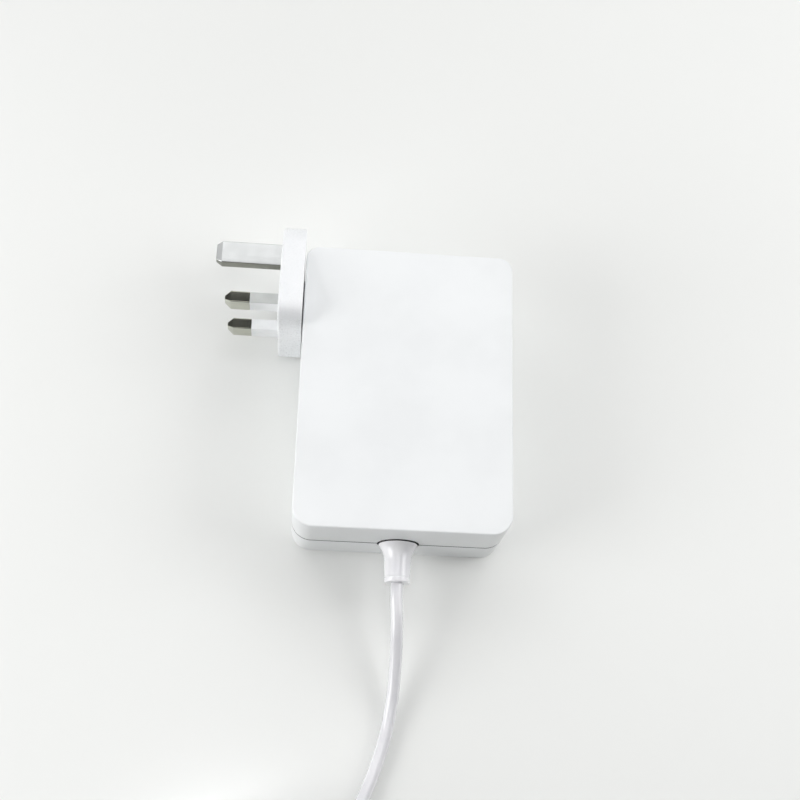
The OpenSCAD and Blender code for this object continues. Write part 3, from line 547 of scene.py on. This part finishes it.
def head_shell():
    """A slab with a rounded front edge, hollow behind its front wall, with a hole for each pin."""
    piece = slab("head_moulding", HEAD_LOW.x, HEAD_HIGH.x, 0)
    pick(piece, "edges", lambda edge: lies_at(edge, X, HEAD_LOW.x))
    round_edges(HEAD_EDGE_R, EDGE_STEPS)
    close_edit()
    hollow = slab("head_hollow", HEAD_LOW.x + HEAD_WALL, HEAD_HIGH.x + HEAD_WALL, HEAD_RIM)
    close_edit()
    cut(piece, hollow)
    for node, section in PIN_SECTIONS.items():
        hole = bar(
            "pin_cutter", HEAD_LOW.x - HEAD_WALL, HEAD_LOW.x + 2 * HEAD_WALL, middle(node),
            grown(section, PIN_PLAY), PIN_EDGE_R + PIN_PLAY, PIN_HOLE_STEPS,
        )
        close_edit()
        cut(piece, hole)
    return hand_over(piece, "head_shell", "mains_head", "head_plastic")


# ---- turned mouldings ----

TURNED_SIDES = 72

RELIEF_FLANGE_R = 7.5 * MM    # the flange inside the housing
RELIEF_FLANGE_T = 2.0 * MM
RELIEF_R = 4.45 * MM          # where the flare ends
RELIEF_END_R = 4.15 * MM
RELIEF_LENGTH = 13.0 * MM
RELIEF_RIM_T = 0.25 * MM      # the base's rim, before the flare starts
RELIEF_RIM_R = 0.15 * MM      # its rounding
RIM_STEPS = 6
RELIEF_TIP_R = 0.3 * MM       # rounding of the free end
TIP_STEPS = 4

FLARE_START = RELIEF_STAND + RELIEF_RIM_T
FLARE_END = 6.0 * MM
FLARE_LENGTH = FLARE_END - FLARE_START
FLARE_RISE = RELIEF_BASE_R - RELIEF_R
FLARE_R = (FLARE_LENGTH ** 2 + FLARE_RISE ** 2) / (2 * FLARE_RISE)   # of the arc along it
FLARE_TURN = math.asin(FLARE_LENGTH / FLARE_R)
FLARE_STEPS = 14

GROOVE_AT = RELIEF_LENGTH - 1.7 * MM   # its middle
GROOVE_W = 0.5 * MM
GROOVE_T = 0.12 * MM

GRIP_TAIL = 10 * MM           # the plug's own short strain relief
GRIP_TAIL_T = 0.6 * MM        # its wall round the lead
GRIP_TAIL_RISE = 0.5 * MM     # how much thicker it gets towards the grip
GRIP_STEP = 1 * MM            # from its end to the grip's shoulder
GRIP_SHOULDER_R = 1.5 * MM
GRIP_SHOULDER_STEPS = 6
GRIP_NOSE = 0.6 * MM
BARREL_ROOT = 3 * MM
BARREL_ROOT_R = 2.6 * MM


def turned(name, start, turn, stations):
    """A round moulding drawn out of a disc, through places given as distance from start and radius."""
    way = Euler(turn).to_matrix() @ Vector((0, 0, 1))
    distance, radius = stations[0]
    piece = disc(name, Vector(start) + way * distance, radius, turn, TURNED_SIDES)
    bpy.ops.mesh.select_all(action="SELECT")
    for next_distance, next_radius in stations[1:]:
        extrude(way * (next_distance - distance))
        scale_about(Vector(start) + way * next_distance, (next_radius / radius,) * 3)
        distance, radius = next_distance, next_radius
    close_edit()
    return piece


def arc(centre, radius, start, end, steps):
    """Stations on an arc of a profile; angles in degrees, from the axis outwards."""
    turns = [math.radians(start + (end - start) * k / steps) for k in range(steps + 1)]
    return [(centre[0] + radius * math.cos(t), centre[1] + radius * math.sin(t)) for t in turns]


def flare():
    """Stations along the strain relief's flare, an arc that ends tangent to the sleeve."""
    turns = [FLARE_TURN * (1 - k / FLARE_STEPS) for k in range(1, FLARE_STEPS + 1)]
    return [
        (FLARE_END - FLARE_R * math.sin(turn), RELIEF_R + FLARE_R * (1 - math.cos(turn)))
        for turn in turns
    ]


def groove():
    """Stations through the fine groove near the strain relief's end."""
    taper = (RELIEF_R - RELIEF_END_R) / (RELIEF_LENGTH - FLARE_END)
    radius = RELIEF_END_R + taper * (RELIEF_LENGTH - GROOVE_AT)
    return [
        (GROOVE_AT - GROOVE_W / 2, radius),
        (GROOVE_AT - GROOVE_W / 2 + GROOVE_T, radius - GROOVE_T),
        (GROOVE_AT + GROOVE_W / 2 - GROOVE_T, radius - GROOVE_T),
        (GROOVE_AT + GROOVE_W / 2, radius),
    ]


def strain_relief():
    """A soft sleeve: a flange inside the wall, a base with a rounded rim just off it, a flare, a sleeve
    that narrows a little and a fine groove near its end."""
    inside = WALL + PIN_PLAY
    rim = (RELIEF_STAND + RELIEF_RIM_R, RELIEF_BASE_R - RELIEF_RIM_R)
    tip = (RELIEF_LENGTH - RELIEF_TIP_R, RELIEF_END_R - RELIEF_TIP_R)
    stations = [
        (-inside - RELIEF_FLANGE_T, RELIEF_FLANGE_R),
        (-inside, RELIEF_FLANGE_R),
        (-inside, RELIEF_NECK_R),
        (RELIEF_STAND, RELIEF_NECK_R),
        *arc(rim, RELIEF_RIM_R, 180, 90 - math.degrees(FLARE_TURN), RIM_STEPS),
        *flare(),
        *groove(),
        *arc(tip, RELIEF_TIP_R, 90, 0, TIP_STEPS),
    ]
    piece = turned("strain_relief_moulding", (0, -END_Y, RELIEF_Z), TO_MINUS_Y, stations)
    return hand_over(piece, "strain_relief", "housing", "soft_white_plastic")


def plug_grip():
    """The low-voltage plug's grip, with its own short strain relief, bored for the barrel."""
    low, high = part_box("dc_plug_grip")
    length = high.x - low.x
    radius = (high.y - low.y) / 2
    tail_r = CORD_D / 2 + GRIP_TAIL_T
    shoulder = (GRIP_TAIL + GRIP_STEP + GRIP_SHOULDER_R, radius - GRIP_SHOULDER_R)
    stations = [
        (0, tail_r),
        (GRIP_TAIL, tail_r + GRIP_TAIL_RISE),
        *arc(shoulder, GRIP_SHOULDER_R, 180, 90, GRIP_SHOULDER_STEPS),
        (length - GRIP_NOSE, radius),
        (length, radius - GRIP_NOSE),
        (length, BARREL_ROOT_R),
        (length - BARREL_ROOT, BARREL_ROOT_R),
    ]
    piece = turned("plug_grip_moulding", (high.x, *middle("dc_plug_grip")), TO_MINUS_X, stations)
    return hand_over(piece, "dc_plug_grip", "housing", "soft_white_plastic")


# ---- finishes ----

def paint(red, green, blue):
    """A colour from its 0 to 255 values on a screen."""
    def linear(level):
        share = level / 255
        return share / 12.92 if share <= 0.04045 else ((share + 0.055) / 1.055) ** 2.4
    return linear(red), linear(green), linear(blue), 1


class Value:
    """A number, colour or vector in a tree of nodes. Arithmetic on a number adds Math nodes."""

    def __init__(self, nodes, socket):
        self.nodes = nodes
        self.socket = socket

    def _math(self, operation, first, second):
        return self.nodes.add("ShaderNodeMath", {"operation": operation}, {0: first, 1: second})

    def __add__(self, other):
        return self._math("ADD", self, other)

    def __radd__(self, other):
        return self._math("ADD", other, self)

    def __sub__(self, other):
        return self._math("SUBTRACT", self, other)

    def __rsub__(self, other):
        return self._math("SUBTRACT", other, self)

    def __mul__(self, other):
        return self._math("MULTIPLY", self, other)

    def __rmul__(self, other):
        return self._math("MULTIPLY", other, self)

    def __pow__(self, other):
        return self._math("POWER", self, other)

    def size(self):
        return self._math("ABSOLUTE", self, 0)

    def above(self, level):
        return self._math("GREATER_THAN", self, level)

    def below(self, level):
        return self._math("LESS_THAN", self, level)


class Nodes:
    """The nodes of a finish or of the sky."""

    def __init__(self, tree):
        self.tree = tree

    def add(self, kind, settings=None, inputs=None, out=0):
        """Any node: its settings are set first, then the values or links of its sockets."""
        node = self.tree.nodes.new(kind)
        for name, value in (settings or {}).items():
            if name == "stops":
                for element, (at, colour) in zip(node.color_ramp.elements, value):
                    element.position = at
                    element.color = colour
            else:
                setattr(node, name, value)
        for key, value in (inputs or {}).items():
            if isinstance(value, Value):
                self.tree.links.new(value.socket, node.inputs[key])
            else:
                node.inputs[key].default_value = value
        return Value(self, node.outputs[out])

    def split(self, vector):
        """A vector's three numbers."""
        node = self.add("ShaderNodeSeparateXYZ", None, {0: vector}).socket.node
        return [Value(self, node.outputs[k]) for k in range(3)]

    def step(self, value, start, end):
        """A smooth step from 0 at start to 1 at end."""
        return self.add(
            "ShaderNodeMapRange", {"interpolation_type": "SMOOTHSTEP"},
            {"Value": value, "From Min": start, "From Max": end},
        )

    def looked_at(self):
        """1 for what is seen directly, mirrored or through something, 0 for light on other surfaces."""
        unseen = 1
        for ray in ("Is Camera Ray", "Is Glossy Ray", "Is Transmission Ray"):
            unseen = (1 - self.add("ShaderNodeLightPath", out=ray)) * unseen
        return 1 - unseen


class Finish(Nodes):
    """One procedural material: a Principled surface and the nodes that feed it. What is the same all
    over is fixed on the surface's own sockets, with _ for a space in their names."""

    def __init__(self, name, **fixed):
        self.material = bpy.data.materials.new(name)
        self.material.use_nodes = True
        super().__init__(self.material.node_tree)
        self.surface = self.tree.nodes["Principled BSDF"]
        for socket, value in fixed.items():
            self.surface.inputs[socket.replace("_", " ")].default_value = value
        self.place = self.add("ShaderNodeTexCoord", out="Object")

    def feed(self, socket, value):
        self.tree.links.new(value.socket, self.surface.inputs[socket])

    def facing(self):
        """Which way the surface faces, as three numbers."""
        return self.split(self.add("ShaderNodeTexCoord", out="Normal"))

    def noise(self, scale, detail, across=None):
        """Cloudy variation from 0 to 1, in waves per metre; across thins them out along X, Y and Z."""
        place = self.place
        if across:
            place = self.add("ShaderNodeMapping", None, {"Vector": place, "Scale": across})
        return self.add(
            "ShaderNodeTexNoise", None, {"Vector": place, "Scale": scale, "Detail": detail}
        )

    def shade(self, value, low, high, start=0.35, end=0.65):
        """A colour between low and high, as the value goes from start to end."""
        return self.add(
            "ShaderNodeValToRGB", {"stops": [(start, low), (end, high)]}, {"Fac": value}, "Color"
        )

    def blend(self, value, low, high):
        """A mix of two colours by a value from 0 to 1."""
        return self.add("ShaderNodeMix", {"data_type": "RGBA"}, {0: value, 6: low, 7: high}, 2)

    def relief(self, height, depth):
        """Fine relief, depth metres from lowest to highest."""
        bump = self.add("ShaderNodeBump", None, {"Height": height, "Distance": depth}, "Normal")
        self.feed("Normal", bump)


GAP_SHADE = paint(78, 78, 80)   # painted shade in the narrow gaps between mouldings
SKIN = 0.02 * MM              # how far a gap's painted shade is let past its edge
FACING = 0.7                  # a surface faces a way if its normal's share of it is above this
EARTH_FROM_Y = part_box("earth_pin")[0].y - MM   # the earth pin lies past this, the others before it


def housing_plastic():
    """White moulded plastic, faintly cloudy and very finely grained; painted shade in the seam and
    recess.
    """
    finish = Finish("housing_plastic")
    cloud = finish.noise(38, 3)
    grain = finish.noise(3200, 2)
    white = finish.shade(cloud, paint(244, 246, 247), paint(249, 251, 252))
    x, y, z = finish.split(finish.place)
    z = z - SEAM_Z
    # painted shade: the seam groove and the strain relief's recess are given the dark gap tone
    in_seam = z.size().below(SEAM_GAP / 2 + SEAM_EDGE_R + SKIN)
    near_lead = ((x * x + z * z) ** 0.5).below(RELIEF_BASE_R + RELIEF_RING + SKIN) * y.below(0)
    in_recess = near_lead * y.above(SKIN - END_Y)
    painted_shade = 1 - (1 - in_seam) * (1 - in_recess)
    finish.feed("Base Color", finish.blend(painted_shade, white, GAP_SHADE))
    finish.feed("Roughness", 0.3 + 0.1 * grain)
    finish.relief(grain, 0.012 * MM)
    return finish.material


def head_plastic():
    """The mains head's plastic: smoother and a touch cooler than the housing."""
    finish = Finish("head_plastic")
    cloud = finish.noise(60, 2)
    grain = finish.noise(2600, 2)
    finish.feed("Base Color", finish.shade(cloud, paint(244, 246, 248), paint(249, 250, 252)))
    finish.feed("Roughness", 0.24 + 0.08 * grain)
    finish.relief(grain, 0.003 * MM)
    return finish.material


def sleeve_plastic():
    """Pale, slightly waxy insulating sleeve; the upper one's top has painted shade, a greyer tone."""
    finish = Finish("sleeve_plastic")
    cloud = finish.noise(240, 3)
    pale = finish.shade(cloud, paint(243, 245, 246), paint(250, 251, 252))
    # painted shade: a greyer tone for the upper sleeve's upward face
    painted_shade_grey = finish.shade(cloud, paint(197, 200, 198), paint(205, 208, 206))
    upper = finish.split(finish.place)[Z].above(HEAD_Z)
    top = finish.facing()[Z].above(FACING)
    finish.feed("Base Color", finish.blend(upper * top, pale, painted_shade_grey))
    finish.feed("Roughness", 0.3 + 0.12 * cloud)
    return finish.material


def soft_white_plastic():
    """Glossy white elastomer, a touch cool; painted shade in the gap behind the strain relief's base."""
    finish = Finish("soft_white_plastic", Coat_Weight=1.0, Coat_Roughness=0.1)
    cloud = finish.noise(150, 3)
    grain = finish.noise(2400, 2)
    white = finish.shade(cloud, paint(249, 249, 253), paint(253, 253, 255))
    # painted shade: the neck behind the base, in the gap against the housing, is given the dark gap tone
    painted_shade_behind_base = finish.split(finish.place)[Y].above(-END_Y - RELIEF_STAND - SKIN)
    finish.feed("Base Color", finish.blend(painted_shade_behind_base, white, GAP_SHADE))
    finish.feed("Roughness", 0.24 + 0.12 * grain)
    finish.relief(grain, 0.005 * MM)
    return finish.material


def lead_jacket():
    """Glossy white cable jacket, with the slow unevenness of an extruded skin."""
    finish = Finish("lead_jacket", Coat_Weight=1.0, Coat_Roughness=0.05)
    cloud = finish.noise(90, 2)
    skin = finish.noise(700, 3)
    finish.feed("Base Color", finish.shade(cloud, paint(232, 232, 236), paint(240, 240, 243)))
    finish.feed("Roughness", 0.12 + 0.08 * skin)
    finish.relief(skin, 0.01 * MM)
    return finish.material


def tie_band():
    """Woven hook-and-loop band, in crossed ribs."""
    finish = Finish("tie_band", Roughness=0.85)
    ribs = finish.add(
        "ShaderNodeTexWave", {"bands_direction": "Y"},
        {"Vector": finish.place, "Scale": 320, "Distortion": 1.5}, "Fac",
    )
    fuzz = finish.noise(5200, 2)
    height = ribs * 0.6 + fuzz * 0.4
    finish.feed("Base Color", finish.shade(height, paint(188, 189, 192), paint(222, 223, 225)))
    finish.relief(height, 0.12 * MM)
    return finish.material


def nickel_plate():
    """Plated brass pins, with fine lines along the pin and a few duller patches from use. The earth pin
    is bright on its broad faces and has painted shade, a darker tone, on its narrow ones."""
    finish = Finish("nickel_plate", Metallic=1.0)
    lines = finish.noise(900, 3, across=(0.06, 1, 1))
    patches = finish.noise(190, 3)
    mains = finish.shade(patches, paint(191, 192, 180), paint(200, 201, 189))
    bright = finish.shade(patches, paint(204, 206, 206), paint(213, 215, 215))
    # painted shade: the darker tone that the earth pin's narrow faces are given
    dark = finish.shade(patches, paint(138, 139, 131), paint(149, 150, 141))
    on_earth = finish.split(finish.place)[Y].above(EARTH_FROM_Y)
    narrow = finish.facing()[Y].size().above(FACING)
    earth = finish.blend(narrow, bright, dark)
    finish.feed("Base Color", finish.blend(on_earth, mains, earth))
    finish.feed("Roughness", 0.05 + 0.03 * lines + 0.03 * patches)
    finish.relief(lines, 0.001 * MM)
    return finish.material


def sheet_metal(name, dark, light, roughness, grain_depth):
    """Rolled or plated sheet with a directional grain."""
    finish = Finish(name, Metallic=1.0)
    grain = finish.noise(1400, 3, across=(1, 0.08, 1))
    stain = finish.noise(120, 3)
    finish.feed("Base Color", finish.shade(stain, dark, light))
    finish.feed("Roughness", roughness + 0.14 * grain)
    finish.relief(grain, grain_depth)
    return finish.material


def plated_steel():
    return sheet_metal("plated_steel", paint(196, 197, 200), paint(216, 217, 219), 0.24, 0.008 * MM)


def aluminium():
    return sheet_metal("aluminium", paint(206, 207, 209), paint(226, 227, 228), 0.34, 0.015 * MM)


def brass():
    return sheet_metal("brass", paint(196, 164, 96), paint(220, 190, 118), 0.26, 0.008 * MM)


def ferrite():
    """Pressed and fired ferrite: dark, matt and speckled."""
    finish = Finish("ferrite")
    speckle = finish.noise(2600, 4)
    finish.feed("Base Color", finish.shade(speckle, paint(52, 53, 56), paint(84, 85, 88)))
    finish.feed("Roughness", 0.6 + 0.25 * speckle)
    finish.relief(speckle, 0.04 * MM)
    return finish.material


def green_coated_core():
    """A coated powder core with slight runs in its paint."""
    finish = Finish("green_coated_core")
    runs = finish.noise(160, 3, across=(1, 1, 0.4))
    finish.feed("Base Color", finish.shade(runs, paint(24, 92, 58), paint(44, 128, 84)))
    finish.feed("Roughness", 0.22 + 0.2 * runs)
    finish.relief(runs, 0.05 * MM)
    return finish.material


def copper_winding():
    """Enamelled wire wound side by side round a core."""
    finish = Finish("copper_winding", Metallic=0.85)
    turns = finish.add(
        "ShaderNodeTexWave", {"wave_type": "RINGS", "rings_direction": "Z"},
        {"Vector": finish.place, "Scale": 420, "Distortion": 0.4}, "Fac",
    )
    finish.feed("Base Color", finish.shade(turns, paint(120, 60, 28), paint(206, 122, 70), 0.2, 0.7))
    finish.feed("Roughness", 0.42 - 0.18 * turns)
    finish.relief(turns, 0.3 * MM)
    return finish.material


def winding_tape():
    """Polyester tape over the transformer's winding, with its lap edges."""
    finish = Finish("winding_tape")
    laps = finish.add(
        "ShaderNodeTexWave", {"bands_direction": "Z"},
        {"Vector": finish.place, "Scale": 60, "Distortion": 0.6}, "Fac",
    )
    finish.feed("Base Color", finish.shade(laps, paint(206, 158, 34), paint(236, 196, 62)))
    finish.feed("Roughness", 0.24 + 0.14 * laps)
    finish.relief(laps, 0.06 * MM)
    return finish.material


def board():
    """Green solder mask with paler tracks under it."""
    finish = Finish("board")
    tracks = finish.add(
        "ShaderNodeTexVoronoi", {"feature": "DISTANCE_TO_EDGE"},
        {"Vector": finish.place, "Scale": 210}, "Distance",
    )
    copper = tracks.above(0.12)
    finish.feed("Base Color", finish.blend(copper, paint(26, 82, 50), paint(48, 122, 74)))
    finish.feed("Roughness", 0.28 + 0.1 * copper)
    finish.relief(copper, 0.03 * MM)
    return finish.material


def insulation_film():
    """Milky polyester film with faint waves."""
    finish = Finish("insulation_film")
    waves = finish.noise(70, 2)
    finish.feed("Base Color", finish.shade(waves, paint(226, 223, 212), paint(240, 238, 230)))
    finish.feed("Roughness", 0.18 + 0.16 * waves)
    finish.relief(waves, 0.2 * MM)
    return finish.material


def dipped(name, dark, light, roughness=0.3):
    """A cast or dipped case: its colour deepens unevenly and its skin is slightly wavy."""
    finish = Finish(name)
    cloud = finish.noise(260, 3)
    finish.feed("Base Color", finish.shade(cloud, dark, light))
    finish.feed("Roughness", roughness - 0.05 + 0.16 * cloud)
    finish.relief(cloud, 0.03 * MM)
    return finish.material


def brown_epoxy():
    return dipped("brown_epoxy", paint(122, 80, 48), paint(152, 104, 66))


def blue_epoxy():
    return dipped("blue_epoxy", paint(36, 84, 156), paint(58, 112, 186))


def yellow_case():
    return dipped("yellow_case", paint(214, 170, 60), paint(236, 196, 84), 0.4)


def capacitor_sleeve():
    return dipped("capacitor_sleeve", paint(40, 46, 78), paint(58, 66, 104), 0.22)


def black_plastic():
    return dipped("black_plastic", paint(34, 34, 36), paint(52, 52, 55), 0.5)


def inner_plastic():
    return dipped("inner_plastic", paint(226, 226, 222), paint(238, 238, 235), 0.42)


def red_wire():
    return dipped("red_wire", paint(160, 34, 30), paint(186, 52, 46), 0.3)


def black_wire():
    return dipped("black_wire", paint(30, 30, 32), paint(48, 48, 52), 0.3)


def grey_pad():
    """Soft gap pad: matt, with a pressed weave."""
    finish = Finish("grey_pad", Roughness=0.8)
    weave = finish.noise(1500, 1)
    finish.feed("Base Color", finish.shade(weave, paint(176, 178, 181), paint(198, 200, 203)))
    finish.relief(weave, 0.06 * MM)
    return finish.material


FINISHES = {
    maker.__name__: maker()
    for maker in (
        housing_plastic, head_plastic, sleeve_plastic, soft_white_plastic, lead_jacket, tie_band,
        nickel_plate, plated_steel, brass, aluminium, ferrite, green_coated_core, copper_winding,
        winding_tape, board, insulation_film, brown_epoxy, blue_epoxy, yellow_case,
        capacitor_sleeve, black_plastic, inner_plastic, red_wire, black_wire, grey_pad,
    )
}


def dress(piece, slot):
    """Puts a finish on every surface of a piece."""
    if not piece.material_slots:
        piece.data.materials.append(None)
    for place in piece.material_slots:
        place.material = FINISHES[slot]


# ---- studio ----

FLOOR_SIZE = 8
FLOOR_LIT_R = 0.28     # as far out as this the floor shows the lamps' light and the shadows
FLOOR_PLAIN_R = 0.6    # and from here on its own even tone
SKY = 0.08
HORIZON = 0.88         # how pale the low sky looks, as pale as the floor
HORIZON_TOP = (0.08, 0.15)   # it fades out between these heights, as the sine of the angle


def floor_finish():
    """Pale, faintly cloudy floor that keeps its tone where the lamps no longer reach it."""
    finish = Finish("pale_floor", Roughness=0.55)
    cloud = finish.noise(3.0, 2)
    pale = finish.shade(cloud, paint(240, 241, 239), paint(243, 244, 242))
    finish.feed("Base Color", pale)
    x, y, _ = finish.split(finish.place)
    far = finish.step((x * x + y * y) ** 0.5, FLOOR_LIT_R, FLOOR_PLAIN_R)
    plain = finish.add("ShaderNodeEmission", None, {"Color": pale, "Strength": 1.0})
    lit = Value(finish, finish.surface.outputs[0])
    mixed = finish.add("ShaderNodeMixShader", None, {0: far * finish.looked_at(), 1: lit, 2: plain})
    finish.tree.links.new(mixed.socket, finish.tree.nodes["Material Output"].inputs["Surface"])
    return finish.material


def floor():
    clear_selection()
    bpy.ops.mesh.primitive_plane_add(size=FLOOR_SIZE, location=(0, 0, 0))
    piece = bpy.context.active_object
    piece.name = "floor"
    piece.data.materials.append(floor_finish())


def soft_box(name, at, aim, wide, high, watts):
    """A soft lamp that points from one place at another."""
    data = bpy.data.lights.new(name, "AREA")
    data.shape = "RECTANGLE"
    data.size = wide
    data.size_y = high
    data.energy = watts
    lamp = bpy.data.objects.new(name, data)
    bpy.context.scene.collection.objects.link(lamp)
    lamp.location = at
    lamp.rotation_euler = (Vector(aim) - Vector(at)).to_track_quat("-Z", "Y").to_euler()


LAMPS = [
    # name, place, what it points at, width, height, watts
    ("left", (-0.6, -0.2, 0.3), (-0.02, -0.02, 0), 0.42, 0.42, 2.5),
    ("right", (0.6, 0.02, 0.42), (0, 0, 0), 0.42, 0.42, 1.75),
    ("back", (-0.1, 1.08, 0.97), (-0.05, 0.04, 0.03), 2.0, 1.15, 9.0),
    ("back_left", (-0.93, 0.61, 0.97), (-0.05, 0.04, 0.03), 1.15, 1.15, 3.0),
    ("back_right", (0.9, 0.6, 0.97), (0, 0.04, 0.03), 1.15, 1.15, 4.6),
    ("top", (0, -0.15, 1.5), (0, 0, 0), 0.8, 0.8, 2.9),
]


def sky():
    """Dim overhead; low down it is pale to look at, and gives no more light for it."""
    world = bpy.data.worlds.new("sky")
    world.use_nodes = True
    nodes = Nodes(world.node_tree)
    height = nodes.split(nodes.add("ShaderNodeTexCoord", out="Generated"))[Z]
    pale = (1 - nodes.step(height, *HORIZON_TOP)) * nodes.looked_at()
    background = world.node_tree.nodes["Background"]
    background.inputs["Color"].default_value = (1, 1, 1, 1)
    strength = SKY + (HORIZON - SKY) * pale
    world.node_tree.links.new(strength.socket, background.inputs["Strength"])
    bpy.context.scene.world = world


def studio():
    floor()
    sky()
    for lamp in LAMPS:
        soft_box(*lamp)
    bpy.context.scene.view_settings.view_transform = "Standard"


# ---- making ----

place_camera()
LEAD = lead()
GRIP = plug_grip()
NEW_PIECES = [
    LEAD, GRIP, top_cover(), bottom_cover(), strain_relief(), head_shell(),
    mains_pin("live_pin"), mains_pin("neutral_pin"), earth_pin(),
    pin_sleeve("live_pin"), pin_sleeve("neutral_pin"),
]
for part in frame["record"]["subparts"]:
    dress(frame["nodes"][part["node"]], part["material_slot"])
for piece in NEW_PIECES:
    dress(piece, piece["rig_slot"])
studio()

bpy.context.view_layer.update()
